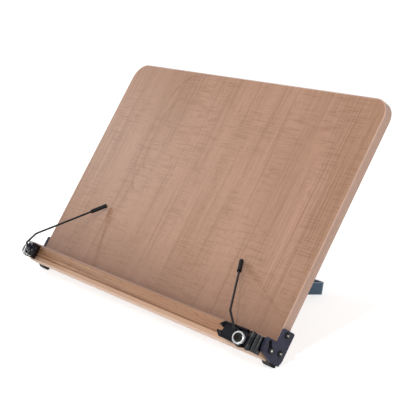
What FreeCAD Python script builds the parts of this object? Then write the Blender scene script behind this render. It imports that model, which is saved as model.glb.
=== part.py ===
import FreeCAD
import Part
import Sketcher
import math
import os
import re

# A tilted reading stand: a wooden board with an edge band, a ledge along its foot, a hinged page
# arm at each end of the ledge with a springy page wire, and a steel strap leg that folds flat.
#
# Z is up, X runs along the ledge, and the reader sits at -Y. Every part on the board is drawn in
# the board's own frame and then tilted: x along the ledge, v up the board from its bottom edge,
# and n out of its front face.

SIZES = [
    # The board and how it stands.
    ("board_width", 380, "board over its edge band"),
    ("board_height", 242, "board from bottom edge to top edge"),
    ("board_thick", 9, "board thickness"),
    ("board_corner", 17.5, "radius of the two top corners"),
    ("band_thick", 1.2, "edge band thickness"),
    ("board_round", 0.8, "rounding of the board's edges"),
    ("board_tilt", 56.27, "board angle above the table"),
    ("heel_y", -74.38, "where the board's bottom front edge lies along Y"),
    # Rubber feet under the board's bottom corners.
    ("foot_width", 10, "foot along X"),
    ("foot_drop", 5.7, "foot below the board's bottom edge"),
    ("foot_back", 11, "foot's rear face behind the board's front face"),
    ("foot_lead", 0.5, "foot's front face behind the board's front face"),
    ("foot_flat", 0.72, "height cut from the foot's lowest corner to make its rest face"),
    # The ledge that the pages stand on.
    ("rail_inset", 1.5, "ledge's ends inside the board's ends"),
    ("rail_gap", 0.4, "gap between board and ledge"),
    ("rail_depth", 11.6, "ledge from back to front"),
    ("rail_top", 14.7, "ledge's top above the board's bottom edge"),
    ("rail_drop", 3.8, "ledge below the board's bottom edge"),
    ("rail_round", 2.2, "rounding of the ledge's top front edge"),
    ("rail_chamfer", 1.7, "chamfer of the ledge's bottom front edge"),
    ("reed_place", 2.4, "middle of the reed groove above the board's bottom edge"),
    ("reed_width", 1.5, "width of the reed groove"),
    ("reed_deep", 1, "depth of the reed groove"),
    # Steel plates on the board's two ends.
    ("side_thick", 3, "side plate thickness"),
    ("side_back", 12.4, "side plate behind the board's front face"),
    ("side_top", 27.2, "side plate's top above the board's bottom edge"),
    ("side_drop", 3.1, "side plate below the board's bottom edge"),
    ("side_lead", 0.8, "side plate's upright in front of the board's front face"),
    ("lobe_reach", 14.3, "lobe in front of the board's front face"),
    ("lobe_top", 14.6, "lobe's top above the board's bottom edge"),
    ("lobe_foot", 2.2, "lobe's lower corner above the board's bottom edge"),
    ("lobe_round", 5.6, "radius of the lobe's lower corner"),
    ("lobe_crown", 2.6, "radius of the lobe's upper corner"),
    ("side_round", 1.8, "radius of the side plate's other corners"),
    # The ledge's pin, which rides in the side plate's slot.
    ("pin_radius", 1.6, "ledge pin"),
    ("pin_place_v", 5.5, "ledge pin above the board's bottom edge"),
    ("pin_place_n", 5.2, "ledge pin in front of the board's front face"),
    ("pin_bore", 6, "depth of the ledge pin in the ledge"),
    ("pin_head", 2.6, "radius of the ledge pin's head"),
    ("ledge_lift", 7.5, "travel of the ledge up the slot"),
    ("run_gap", 0.1, "running clearance round a pin and beside a moving face"),
    # Pan-head screws.
    ("screw_head", 2.8, "screw head radius"),
    ("screw_rise", 1.6, "screw head height"),
    ("screw_radius", 1.4, "screw shank radius"),
    ("screw_bite", 7, "screw length in the wood"),
    ("screw_cross", 0.7, "width of the cross recess"),
    ("screw_top_v", 23, "upper side screw above the board's bottom edge"),
    ("screw_top_n", -5, "upper side screw from the board's front face"),
    ("screw_low_v", 7.1, "lower side screw above the board's bottom edge"),
    ("screw_low_n", -6.4, "lower side screw from the board's front face"),
    # Hinge blocks on the ledge's ends.
    ("hinge_inset", 5.5, "hinge axis from the ledge's end"),
    ("hinge_n", 21, "hinge axis in front of the board's front face"),
    ("hinge_low", 2.6, "hinge block below the board's bottom edge"),
    ("hinge_high", 12.9, "hinge block's top above the board's bottom edge"),
    ("barrel_radius", 3.2, "hinge barrel"),
    ("hinge_pin", 1.5, "hinge pin radius"),
    ("pin_proud", 0.6, "hinge pin beyond the barrel at each end"),
    ("knuckle_low", 2, "lower face of the middle knuckle's gap"),
    ("knuckle_high", 8.6, "upper face of the middle knuckle's gap"),
    ("rib_radius", 1.8, "outer rib of the hinge block"),
    ("rib_inset", 1.3, "outer rib from the ledge's end"),
    ("rib_n", 19.4, "outer rib in front of the board's front face"),
    ("bead_radius", 1.5, "corner bead of the hinge block"),
    ("bead_inset", 0.5, "corner bead from the ledge's end"),
    ("bead_n", 15.6, "corner bead in front of the board's front face"),
    ("block_inset", 9.9, "inner side of the hinge block from the ledge's end"),
    # Page arms: a channel with a fishtail end, open towards the reader.
    ("arm_angle", 20, "page arm's angle out from the ledge"),
    ("arm_start", 3.7, "channel's near end from the hinge axis"),
    ("arm_length", 30.1, "channel's tips from the hinge axis"),
    ("arm_shoulder", 26, "where the channel's ends slope in to the tips"),
    ("arm_notch", 3.7, "depth of the fishtail notch"),
    ("arm_high", 13, "channel's top at the hinge"),
    ("arm_low", -2.5, "channel's bottom at the hinge"),
    ("shoulder_high", 11.7, "channel's top at its shoulder"),
    ("shoulder_low", -2, "channel's bottom at its shoulder"),
    ("tip_high", 7.6, "upper tip above the board's bottom edge"),
    ("tip_low", 2.3, "lower tip above the board's bottom edge"),
    ("notch_width", 2, "width of the notch's floor"),
    ("arm_depth", 5, "channel's depth"),
    ("arm_floor", 1.9, "channel's floor thickness"),
    ("arm_wall", 1.5, "channel's wall thickness"),
    ("arm_round", 1.2, "rounding of the channel's shoulders"),
    ("tip_round", 0.6, "rounding of the channel's tips"),
    ("boss_radius", 7, "conical boss under the knob, at the channel's back"),
    ("boss_draw", 1.3, "how much the boss narrows to its seat"),
    # The knob, its hub and the page wire.
    ("knob_s", 8, "knob axis from the hinge axis along the arm"),
    ("knob_v", 3.4, "knob axis above the board's bottom edge"),
    ("knob_radius", 5.45, "clamp screw's head"),
    ("knob_rise", 4.4, "clamp screw's head height"),
    ("knob_bore", 4, "radius of the hollow in the head"),
    ("knob_deep", 3.4, "depth of the hollow in the head"),
    ("knob_shank", 2, "clamp screw's shank radius"),
    ("shank_proud", 0.6, "clamp screw's shank behind the channel"),
    ("hub_radius", 5.2, "wire hub's disc"),
    ("hub_thick", 1.1, "wire hub's thickness"),
    ("knob_clear", 0.85, "clearance round the knob in the channel"),
    ("wire_radius", 1, "page wire"),
    ("post_s", 5, "wire post from the knob axis along the arm"),
    ("post_v", 4.6, "wire post from the knob axis up the board"),
    ("lug_wall", 0.8, "hub's wall round the wire post"),
    ("post_top", 8.6, "wire's first corner in front of the channel's back"),
    ("post_bend", 1.8, "bend radius at the post"),
    ("bend_s", 25.5, "wire's second bend from the hinge axis"),
    ("bend_v", 20.9, "wire's second bend above the board's bottom edge"),
    ("bend_m", 6.4, "wire's second bend in front of the channel's back"),
    ("wire_bend", 6, "radius of the wire's second bend"),
    ("right_tip_s", 62.6, "right wire's end from the hinge axis"),
    ("right_tip_v", 69, "right wire's end above the board's bottom edge"),
    ("right_tip_m", -41.9, "right wire's end from the channel's back"),
    ("left_tip_s", 56.3, "left wire's end from the hinge axis"),
    ("left_tip_v", 78.5, "left wire's end above the board's bottom edge"),
    ("left_tip_m", -39.6, "left wire's end from the channel's back"),
    ("sleeve_radius", 2.05, "rubber sleeve on the wire's end"),
    ("sleeve_length", 17.5, "rubber sleeve's length"),
    ("sleeve_nose", 2.5, "solid rubber beyond the wire's end"),
    ("sleeve_round", 0.9, "rounding of the sleeve's nose"),
    # The folding leg and its bracket.
    ("leg_half", 66, "half of the leg's outer width"),
    ("leg_height", 12, "strap's height, on edge"),
    ("leg_thick", 2.5, "strap's thickness"),
    ("leg_reach", 146.7, "crossbar's middle from the pivot"),
    ("leg_corner", 7, "outer radius of the leg's corners"),
    ("leg_flat", 0.15, "height cut from the crossbar's lowest edge to make its rest face"),
    ("pivot_v", 38, "leg pivot above the board's bottom edge"),
    ("pivot_n", -16.5, "leg pivot from the board's front face"),
    ("rear_thick", 2, "rear bracket's sheet"),
    ("rear_low", 26.5, "rear bracket's lower edge"),
    ("rear_high", 49, "rear bracket's upper edge"),
    ("ear_deep", 25.5, "ears behind the board's front face"),
    ("ear_bottom", 36, "end of the ears' outer edge"),
    ("ear_slope", 16, "depth at which the ears' upper edge slopes off"),
    ("ear_shoulder", 46, "start of the ears' sloping edge"),
    ("ear_round", 4, "rounding of the ears' corners"),
    ("rear_screw_end", 19.4, "rear screws from the bracket's ears"),
    ("rear_screw_inset", 5.5, "rear screws from the bracket's edges"),
    ("rear_screw_bite", 5.5, "rear screw's length in the wood"),
    ("rivet_radius", 2.5, "leg rivet"),
    ("rivet_head", 4.3, "leg rivet's head radius"),
    ("rivet_rise", 1.3, "leg rivet's head height"),
    ("stop_radius", 1.6, "stop pin"),
    ("stop_along", 2, "stop pin from the pivot along the open leg"),
    ("stop_gap", 0.3, "gap between the open leg and its stop pin"),
]

# What follows from the sizes: heights of the tilted frame above the table, and the slope at which
# the leg reaches the table from its pivot.
LAYOUT = [
    ("board_z", "foot_drop * sin(board_tilt) + foot_back * cos(board_tilt) - foot_flat"),
    ("pivot_z", "board_z + pivot_v * sin(board_tilt) + pivot_n * cos(board_tilt)"),
    ("leg_far", "leg_reach + leg_thick / 2"),
    ("leg_corner_reach", "sqrt(leg_far * leg_far + leg_height * leg_height / 4)"),
    ("leg_slope", "asin((pivot_z + leg_flat) / leg_corner_reach) / 1 deg"
                  " - atan(leg_height / 2 / leg_far) / 1 deg"),
    ("hub_base", "arm_floor + run_gap / 2"),
    ("knob_seat", "hub_base + hub_thick"),
    ("rail_front", "rail_gap + rail_depth"),
    ("half_board", "board_width / 2"),
    ("side_outer", "half_board + side_thick"),
    ("rail_half", "half_board - rail_inset"),
    ("hinge_x", "rail_half - hinge_inset"),
    ("rib_x", "rail_half - rib_inset"),
    ("bead_x", "rail_half - bead_inset"),
    ("block_inner", "rail_half - block_inset"),
    ("ear_outer", "leg_half - leg_thick - run_gap"),
    ("rear_screw_x", "ear_outer - rear_screw_end"),
    ("rear_face", "0 - board_thick - rear_thick"),
]

SIDES = (("right", 1), ("left", -1))

doc = FreeCAD.newDocument("ReadingStand")
sheet = doc.addObject("Spreadsheet::Sheet", "Sizes")
for row, (alias, number, note) in enumerate(SIZES, start=1):
    sheet.set(f"A{row}", note)
    sheet.set(f"B{row}", str(number))
    sheet.setAlias(f"B{row}", alias)
doc.recompute()

SHEET_WORDS = {alias for alias, _, _ in SIZES}
LAYOUT_WORDS = {name for name, _ in LAYOUT}


def bound(expression):
    """Return the expression with each size name led by the object that holds it."""
    def lead(match):
        word = match.group(0)
        if word in SHEET_WORDS:
            return "Sizes." + word
        if word in LAYOUT_WORDS:
            return "Layout." + word
        return word
    return re.sub(r"[a-z][a-z_]*", lead, str(expression))


layout = doc.addObject("App::VarSet", "Layout")
for name, expression in LAYOUT:
    layout.addProperty("App::PropertyFloat", name, "Derived")
    layout.setExpression(name, bound(expression))
    doc.recompute()


def value(expression):
    """Return the number that an expression of size names has now."""
    return float(layout.evalExpression(bound(expression)))


# ---------------------------------------------------------------------------------------------
# Frames
# ---------------------------------------------------------------------------------------------

BOARD_FRAME = ("placement(vector(0; heel_y; board_z);"
               " rotation(vector(1; 0; 0); board_tilt))")


def inside(frame, x="0", y="0", z="0", axis="0; 0; 1", turn="0"):
    """Return a frame moved and then turned inside another frame."""
    return f"{frame} * placement(vector({x}; {y}; {z}); rotation(vector({axis}); {turn}))"


def arm_frame(sign):
    """Return a page arm's frame: its x runs along the arm, y up the board and z to the reader."""
    return inside(BOARD_FRAME, f"{sign} * hinge_x", "0", "hinge_n", "0; 1; 0",
                  f"{sign} * arm_angle")


LEG_FRAME = inside(f"placement(vector(0; heel_y + pivot_v * cos(board_tilt)"
                   f" - pivot_n * sin(board_tilt); pivot_z);"
                   f" rotation(vector(1; 0; 0); 0 - leg_slope))")


# ---------------------------------------------------------------------------------------------
# Modelling helpers
# ---------------------------------------------------------------------------------------------

def new_body(label, frame):
    """Add a body whose placement follows the sizes."""
    body = doc.addObject("PartDesign::Body", label)
    body.Label = label
    body.setExpression("Placement", bound(frame))
    return body


def new_sketch(body, name, role, offset="0"):
    """Add a sketch on one of the body's own origin planes, moved along the plane's normal."""
    plane = next(item for item in body.Origin.OriginFeatures if item.Role == role)
    sketch = body.newObject("Sketcher::SketchObject", f"{body.Label}_{name}")
    sketch.AttachmentSupport = (plane, [""])
    sketch.MapMode = "FlatFace"
    sketch.setExpression("AttachmentOffset.Base.z", bound(offset))
    return sketch


def pin_down(sketch, geometry, point, x, y):
    """Hold a point of the sketch at a place given by two expressions."""
    for kind, expression in (("DistanceX", x), ("DistanceY", y)):
        constraint = Sketcher.Constraint(kind, -1, 1, geometry, point, value(expression))
        number = sketch.addConstraint(constraint)
        sketch.setExpression(f"Constraints[{number}]", bound(expression))


def outline(body, name, role, corners, offset="0"):
    """Add a closed polygon sketch whose corners are pairs of expressions."""
    sketch = new_sketch(body, name, role, offset)
    spots = [FreeCAD.Vector(value(x), value(y), 0) for x, y in corners]
    count = len(spots)
    for index in range(count):
        sketch.addGeometry(Part.LineSegment(spots[index], spots[(index + 1) % count]))
    for index in range(count):
        sketch.addConstraint(Sketcher.Constraint("Coincident", index, 2, (index + 1) % count, 1))
    for index, (x, y) in enumerate(corners):
        pin_down(sketch, index, 1, x, y)
    return sketch


def rings(body, name, role, circles, offset="0"):
    """Add a sketch of circles, each given by the expressions of its centre and radius."""
    sketch = new_sketch(body, name, role, offset)
    for index, (x, y, radius) in enumerate(circles):
        centre = FreeCAD.Vector(value(x), value(y), 0)
        sketch.addGeometry(Part.Circle(centre, FreeCAD.Vector(0, 0, 1), value(radius)))
        pin_down(sketch, index, 3, x, y)
        number = sketch.addConstraint(Sketcher.Constraint("Radius", index, value(radius)))
        sketch.setExpression(f"Constraints[{number}]", bound(radius))
    return sketch


def pad(body, sketch, length, both_ways=False, backwards=False):
    """Extrude a sketch into the body."""
    feature = body.newObject("PartDesign::Pad", sketch.Name + "_pad")
    feature.Profile = sketch
    feature.SideType = "Symmetric" if both_ways else "One side"
    feature.Reversed = backwards
    feature.setExpression("Length", bound(length))
    doc.recompute()
    return feature


def pocket(body, sketch, length, both_ways=False, backwards=False):
    """Cut a sketch into the body, and check that it removes something."""
    before = body.Shape.Volume
    feature = body.newObject("PartDesign::Pocket", sketch.Name + "_cut")
    feature.Profile = sketch
    feature.SideType = "Symmetric" if both_ways else "One side"
    feature.Reversed = backwards
    feature.setExpression("Length", bound(length))
    doc.recompute()
    if not body.Shape.Volume < before:
        raise RuntimeError(f"{sketch.Name} cuts nothing")
    return feature


def turned(body, corners):
    """Revolve a half profile, given as radius and height, about the body's own Z axis."""
    sketch = outline(body, "profile", "XZ_Plane", corners)
    feature = body.newObject("PartDesign::Revolution", sketch.Name + "_turn")
    feature.Profile = sketch
    feature.ReferenceAxis = (sketch, ["V_Axis"])
    feature.Angle = 360
    doc.recompute()
    return feature


def edges_where(feature, test):
    """Return the names of the feature's edges that pass the test."""
    return [f"Edge{number}" for number, edge in enumerate(feature.Shape.Edges, start=1)
            if test(edge)]


def rounded(body, feature, name, radius, test):
    """Fillet the edges that pass the test."""
    fillet = body.newObject("PartDesign::Fillet", f"{body.Label}_{name}")
    fillet.Base = (feature, edges_where(feature, test))
    fillet.setExpression("Radius", bound(radius))
    doc.recompute()
    return fillet


def bevelled(body, feature, name, size, test):
    """Chamfer the edges that pass the test."""
    chamfer = body.newObject("PartDesign::Chamfer", f"{body.Label}_{name}")
    chamfer.Base = (feature, edges_where(feature, test))
    chamfer.setExpression("Size", bound(size))
    doc.recompute()
    return chamfer


def mirrored(body, feature, name, role="YZ_Plane"):
    """Repeat a feature on the other side of one of the body's origin planes."""
    plane = next(item for item in body.Origin.OriginFeatures if item.Role == role)
    mirror = body.newObject("PartDesign::Mirrored", f"{body.Label}_{name}")
    mirror.Originals = [feature]
    mirror.MirrorPlane = (plane, [""])
    body.Tip = mirror
    doc.recompute()
    return mirror


def middle(edge):
    """Return the middle point of an edge."""
    return edge.valueAt((edge.FirstParameter + edge.LastParameter) / 2)


def runs_along(edge, axis):
    """Tell whether an edge is straight and parallel to an axis, given as 0, 1 or 2."""
    if not isinstance(edge.Curve, Part.Line):
        return False
    return abs(abs(edge.Curve.Direction[axis]) - 1) < 1e-6


def upright_at(axis, first, second):
    """Return a test for the straight edge along an axis that stands at two coordinates."""
    others = [number for number in range(3) if number != axis]
    spot = (value(first), value(second))

    def test(edge):
        if not runs_along(edge, axis):
            return False
        place = middle(edge)
        return all(abs(place[other] - number) < 0.01 for other, number in zip(others, spot))
    return test


# ---------------------------------------------------------------------------------------------
# Board
# ---------------------------------------------------------------------------------------------

SCREW_SPOTS = (("upper", "screw_top_v", "screw_top_n"), ("lower", "screw_low_v", "screw_low_n"))


def board_outline(body, name, inset):
    """Add the board's front outline, moved in from its left, top and right edges."""
    half = f"half_board - {inset}"
    top = f"board_height - {inset}"
    return outline(body, name, "XY_Plane",
                   [(f"0 - ({half})", "0"), (half, "0"), (half, top), (f"0 - ({half})", top)])


def round_top_corners(body, feature, inset):
    """Round the board outline's two top corners."""
    half = value(f"half_board - {inset}")
    top = value(f"board_height - {inset}")

    def test(edge):
        place = middle(edge)
        return (runs_along(edge, 2) and abs(abs(place.x) - half) < 0.01
                and abs(place.y - top) < 0.01)
    return rounded(body, feature, f"corners_{inset[:4]}", f"board_corner - {inset}", test)


def drill_for_side_screws(body):
    """Bore the side screws' pilot holes into both ends."""
    holes = rings(body, "pilots", "YZ_Plane",
                  [(spot_v, spot_n, "screw_radius") for _, spot_v, spot_n in SCREW_SPOTS],
                  "half_board - screw_bite")
    cut = pocket(body, holes, "screw_bite + 1", backwards=True)
    mirrored(body, cut, "pilots_other_end")


def make_board_panel():
    """Make the laminated panel inside its edge band."""
    body = new_body("board_panel", BOARD_FRAME)
    slab = pad(body, board_outline(body, "front", "band_thick"), "board_thick", backwards=True)
    round_top_corners(body, slab, "band_thick")
    drill_for_side_screws(body)
    spots = [(f"{sign} * rear_screw_x", height, "screw_radius")
             for sign in (1, -1)
             for height in ("rear_low + rear_screw_inset", "rear_high - rear_screw_inset")]
    holes = rings(body, "rear_pilots", "XY_Plane", spots, "0 - board_thick")
    pocket(body, holes, "rear_screw_bite", backwards=True)
    return body


def make_edge_band():
    """Make the band round the board's left, top and right edges."""
    body = new_body("edge_band", BOARD_FRAME)
    slab = pad(body, board_outline(body, "outer", "0"), "board_thick", backwards=True)
    shaped = round_top_corners(body, slab, "0")
    depth = value("board_thick")
    half = value("half_board")
    top = value("board_height")

    def outer_rim(edge):
        place = middle(edge)
        on_face = abs(place.z) < 0.01 or abs(place.z + depth) < 0.01
        near_rim = abs(abs(place.x) - half) < 0.01 or abs(place.y - top) < 0.01
        in_corner = not isinstance(edge.Curve, Part.Line)
        return on_face and (near_rim or in_corner)
    rounded(body, shaped, "rims", "board_round", outer_rim)
    inner = new_sketch(body, "inner", "XY_Plane")
    half_in = "half_board - band_thick"
    top_in = "board_height - band_thick"
    radius = "board_corner - band_thick"
    trace_arch(inner, half_in, top_in, radius)
    pocket(body, inner, "board_thick")
    drill_for_side_screws(body)
    return body


def trace_arch(sketch, half, top, radius):
    """Draw a rectangle from below y = 0 to the top, with its two top corners rounded."""
    half_now, top_now, radius_now = value(half), value(top), value(radius)
    low = -1.0
    flat = half_now - radius_now
    shoulder = top_now - radius_now
    spots = [(-half_now, low), (half_now, low), (half_now, shoulder), (flat, top_now),
             (-flat, top_now), (-half_now, shoulder)]
    points = [FreeCAD.Vector(x, y, 0) for x, y in spots]
    up = FreeCAD.Vector(0, 0, 1)
    corner = Part.Circle(FreeCAD.Vector(flat, shoulder, 0), up, radius_now)
    other = Part.Circle(FreeCAD.Vector(-flat, shoulder, 0), up, radius_now)
    sketch.addGeometry(Part.LineSegment(points[0], points[1]))
    sketch.addGeometry(Part.LineSegment(points[1], points[2]))
    sketch.addGeometry(Part.ArcOfCircle(corner, 0, math.pi / 2))
    sketch.addGeometry(Part.LineSegment(points[3], points[4]))
    sketch.addGeometry(Part.ArcOfCircle(other, math.pi / 2, math.pi))
    sketch.addGeometry(Part.LineSegment(points[5], points[0]))
    for first, first_end, second, second_end in ((0, 2, 1, 1), (1, 2, 2, 1), (2, 2, 3, 1),
                                                 (3, 2, 4, 1), (4, 2, 5, 1), (5, 2, 0, 1)):
        sketch.addConstraint(Sketcher.Constraint("Coincident", first, first_end,
                                                 second, second_end))
    pin_down(sketch, 0, 1, f"0 - ({half})", "0 - 1")
    pin_down(sketch, 0, 2, half, "0 - 1")
    pin_down(sketch, 2, 3, f"{half} - ({radius})", f"{top} - ({radius})")
    pin_down(sketch, 4, 3, f"({radius}) - ({half})", f"{top} - ({radius})")
    for arc in (2, 4):
        number = sketch.addConstraint(Sketcher.Constraint("Radius", arc, radius_now))
        sketch.setExpression(f"Constraints[{number}]", bound(radius))
    sketch.addConstraint(Sketcher.Constraint("Vertical", 1))
    sketch.addConstraint(Sketcher.Constraint("Horizontal", 3))
    sketch.addConstraint(Sketcher.Constraint("Vertical", 5))
    sketch.addConstraint(Sketcher.Constraint("PointOnObject", 2, 1, 1))
    doc.recompute()


# ---------------------------------------------------------------------------------------------
# Screws and pins, each along its own Z axis with its head's seat at Z = 0
# ---------------------------------------------------------------------------------------------

def make_screw(label, frame, length):
    """Make a pan-head screw with a cross recess."""
    body = new_body(label, frame)
    head = turned(body, [("0", f"0 - ({length})"), ("screw_radius", f"0 - ({length})"),
                         ("screw_radius", "0"), ("screw_head", "0"),
                         ("screw_head", "screw_rise"), ("0", "screw_rise")])
    rise = value("screw_rise")
    rounded(body, head, "dome", "screw_rise * 0.6",
            lambda edge: abs(middle(edge).z - rise) < 0.01 and edge.isClosed())
    arm, web = "screw_head * 0.62", "screw_cross / 2"
    less = ("0 - " + arm, "0 - " + web)
    cross = outline(body, "cross", "XY_Plane",
                    [(arm, less[1]), (arm, web), (web, web), (web, arm), (less[1], arm),
                     (less[1], web), (less[0], web), (less[0], less[1]), (less[1], less[1]),
                     (less[1], less[0]), (web, less[0]), (web, less[1])], "screw_rise")
    pocket(body, cross, "screw_rise * 0.55")
    return body


def make_side_screw(side, sign, level, spot_v, spot_n):
    """Make one screw that holds a side plate to the board."""
    frame = inside(BOARD_FRAME, f"{sign} * side_outer", spot_v, spot_n, "0; 1; 0", f"{sign * 90}")
    return make_screw(f"bracket_screw_{side}_{level}", frame, "side_thick + screw_bite")


def make_rear_screw(number, sign, height):
    """Make one screw that holds the rear bracket to the board."""
    frame = inside(BOARD_FRAME, f"{sign} * rear_screw_x", height, "rear_face", "1; 0; 0", "180")
    return make_screw(f"rear_screw_{number}", frame, "rear_thick + rear_screw_bite")


def make_ledge_pin(side, sign):
    """Make the pin in the ledge's end that rides in the side plate's slot."""
    frame = inside(BOARD_FRAME, f"{sign} * (side_outer + run_gap)", "pin_place_v", "pin_place_n",
                   "0; 1; 0", f"{sign * 90}")
    body = new_body(f"ledge_pin_{side}", frame)
    tail = "0 - (side_outer + run_gap - rail_half + pin_bore)"
    pin = turned(body, [("0", tail), ("pin_radius", tail), ("pin_radius", "0"),
                        ("pin_head", "0"), ("pin_head", "screw_rise"), ("0", "screw_rise")])
    rise = value("screw_rise")
    rounded(body, pin, "dome", "screw_rise * 0.5",
            lambda edge: abs(middle(edge).z - rise) < 0.01 and edge.isClosed())
    return body


# ---------------------------------------------------------------------------------------------
# Feet, side plates and ledge
# ---------------------------------------------------------------------------------------------

def make_foot(side, sign):
    """Make the rubber foot under one bottom corner, cut level where it stands on the table."""
    body = new_body(f"foot_{side}", BOARD_FRAME)
    corners = [("0", "0 - foot_lead"),
               ("0 - foot_drop * 0.54", "0 - foot_lead - foot_back * 0.07"),
               ("0 - foot_drop", "0 - foot_lead - foot_back * 0.5"),
               ("0 - foot_drop", "foot_flat / cos(board_tilt) - foot_back"),
               ("foot_flat / sin(board_tilt) - foot_drop", "0 - foot_back"),
               ("0", "0 - foot_back")]
    offset = "half_board - foot_width" if sign > 0 else "0 - half_board"
    profile = outline(body, "profile", "YZ_Plane", corners, offset)
    pad(body, profile, "foot_width")
    return body


def make_side_bracket(side, sign):
    """Make the plate on one end of the board, with the slot that guides the ledge's pin."""
    body = new_body(f"side_bracket_{side}", BOARD_FRAME)
    rear = "0 - side_back"
    corners = [("side_top", "side_lead"), ("side_top", rear), ("side_drop * 0.7", rear),
               ("0 - side_drop", f"{rear} + side_drop * 0.5"),
               ("0 - side_drop", "0 - side_lead"),
               ("lobe_foot", "lobe_reach"), ("lobe_top", "lobe_reach"),
               ("lobe_top", "side_lead")]
    offset = "half_board" if sign > 0 else "0 - side_outer"
    plate = pad(body, outline(body, "plate", "YZ_Plane", corners, offset), "side_thick")
    for name, radius, spots in (
            ("ends", "side_round", (0, 1, 4)),
            ("lobe", "lobe_round", (5,)),
            ("crown", "lobe_crown", (6,)),
            ("nooks", "side_round * 0.6", (2, 3, 7))):
        tests = [upright_at(0, *corners[spot]) for spot in spots]
        plate = rounded(body, plate, name, radius,
                        lambda edge, tests=tests: any(test(edge) for test in tests))
    holes = rings(body, "screw_holes", "YZ_Plane",
                  [(spot_v, spot_n, "screw_radius") for _, spot_v, spot_n in SCREW_SPOTS], offset)
    pocket(body, holes, "side_thick", backwards=True)
    slot = new_sketch(body, "slot", "YZ_Plane", offset)
    trace_slot(slot, "pin_place_v", "pin_place_n", "ledge_lift * sin(board_tilt)",
               "ledge_lift * cos(board_tilt)", "pin_radius + run_gap")
    pocket(body, slot, "side_thick", backwards=True)
    return body


def trace_slot(sketch, start_x, start_y, run_x, run_y, radius):
    """Draw a slot with round ends from a start point along a run."""
    start = FreeCAD.Vector(value(start_x), value(start_y), 0)
    run = FreeCAD.Vector(value(run_x), value(run_y), 0)
    reach = value(radius)
    across = FreeCAD.Vector(-run.y, run.x, 0).normalize() * reach
    end = start + run
    up = FreeCAD.Vector(0, 0, 1)
    heading = math.atan2(run.y, run.x)
    quarter = math.pi / 2
    sketch.addGeometry(Part.LineSegment(start - across, end - across))
    sketch.addGeometry(Part.ArcOfCircle(Part.Circle(end, up, reach),
                                        heading - quarter, heading + quarter))
    sketch.addGeometry(Part.LineSegment(end + across, start + across))
    sketch.addGeometry(Part.ArcOfCircle(Part.Circle(start, up, reach),
                                        heading + quarter, heading + 3 * quarter))
    for first, first_end, second, second_end in ((0, 2, 1, 1), (1, 2, 2, 1), (2, 2, 3, 1),
                                                 (3, 2, 0, 1)):
        sketch.addConstraint(Sketcher.Constraint("Tangent", first, first_end,
                                                 second, second_end))
    pin_down(sketch, 3, 3, start_x, start_y)
    pin_down(sketch, 1, 3, f"{start_x} + {run_x}", f"{start_y} + {run_y}")
    number = sketch.addConstraint(Sketcher.Constraint("Radius", 1, reach))
    sketch.setExpression(f"Constraints[{number}]", bound(radius))
    doc.recompute()


def make_ledge_rail():
    """Make the wooden ledge, with a rounded top edge and a reed groove along its front."""
    body = new_body("ledge_rail", BOARD_FRAME)
    low, high = "0 - rail_drop", "rail_top"
    profile = outline(body, "profile", "YZ_Plane",
                      [(low, "rail_gap"), (high, "rail_gap"), (high, "rail_front"),
                       (low, "rail_front")])
    rail = pad(body, profile, "rail_half * 2", both_ways=True)
    rail = rounded(body, rail, "nose", "rail_round", upright_at(0, high, "rail_front"))
    rail = bevelled(body, rail, "chin", "rail_chamfer", upright_at(0, low, "rail_front"))
    rail = rounded(body, rail, "back_edge", "board_round", upright_at(0, high, "rail_gap"))
    groove = outline(body, "reed", "YZ_Plane",
                     [("reed_place - reed_width / 2", "rail_front + 1"),
                      ("reed_place - reed_width / 2", "rail_front - reed_deep"),
                      ("reed_place + reed_width / 2", "rail_front - reed_deep"),
                      ("reed_place + reed_width / 2", "rail_front + 1")])
    pocket(body, groove, "rail_half * 2 + 2", both_ways=True)
    bore = rings(body, "pin_bore", "YZ_Plane",
                 [("pin_place_v", "pin_place_n", "pin_radius")], "rail_half - pin_bore")
    cut = pocket(body, bore, "pin_bore + 1", backwards=True)
    mirrored(body, cut, "other_bore")
    return body


# ---------------------------------------------------------------------------------------------
# Hinge and page arm
# ---------------------------------------------------------------------------------------------

def make_hinge_block(side, sign):
    """Make the block on the ledge's end, with two barrel knuckles and two upright ribs."""
    body = new_body(f"hinge_block_{side}", BOARD_FRAME)
    tall = "hinge_low + hinge_high"
    foot = "hinge_low"
    web = outline(body, "web", "XZ_Plane",
                  [(f"{sign} * block_inner", "rail_front"),
                   (f"{sign} * (bead_x + bead_radius)", "rail_front"),
                   (f"{sign} * (bead_x + bead_radius)", "bead_n"),
                   (f"{sign} * rib_x", "rib_n"),
                   (f"{sign} * hinge_x", "hinge_n"),
                   (f"{sign} * (hinge_x - barrel_radius)", "hinge_n"),
                   (f"{sign} * block_inner", "rail_front + 2")], foot)
    pad(body, web, tall, backwards=True)
    for name, x, n, radius in (("barrel", "hinge_x", "hinge_n", "barrel_radius"),
                               ("rib", "rib_x", "rib_n", "rib_radius"),
                               ("bead", "bead_x", "bead_n", "bead_radius")):
        pad(body, rings(body, name, "XZ_Plane", [(f"{sign} * {x}", n, radius)], foot), tall,
            backwards=True)
    gap = rings(body, "knuckle_gap", "XZ_Plane",
                [(f"{sign} * hinge_x", "hinge_n", "barrel_radius + 3 * run_gap")],
                "0 - knuckle_low")
    pocket(body, gap, "knuckle_high - knuckle_low")
    bore = rings(body, "pin_bore", "XZ_Plane",
                 [(f"{sign} * hinge_x", "hinge_n", "hinge_pin")], foot)
    pocket(body, bore, tall)
    return body


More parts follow.
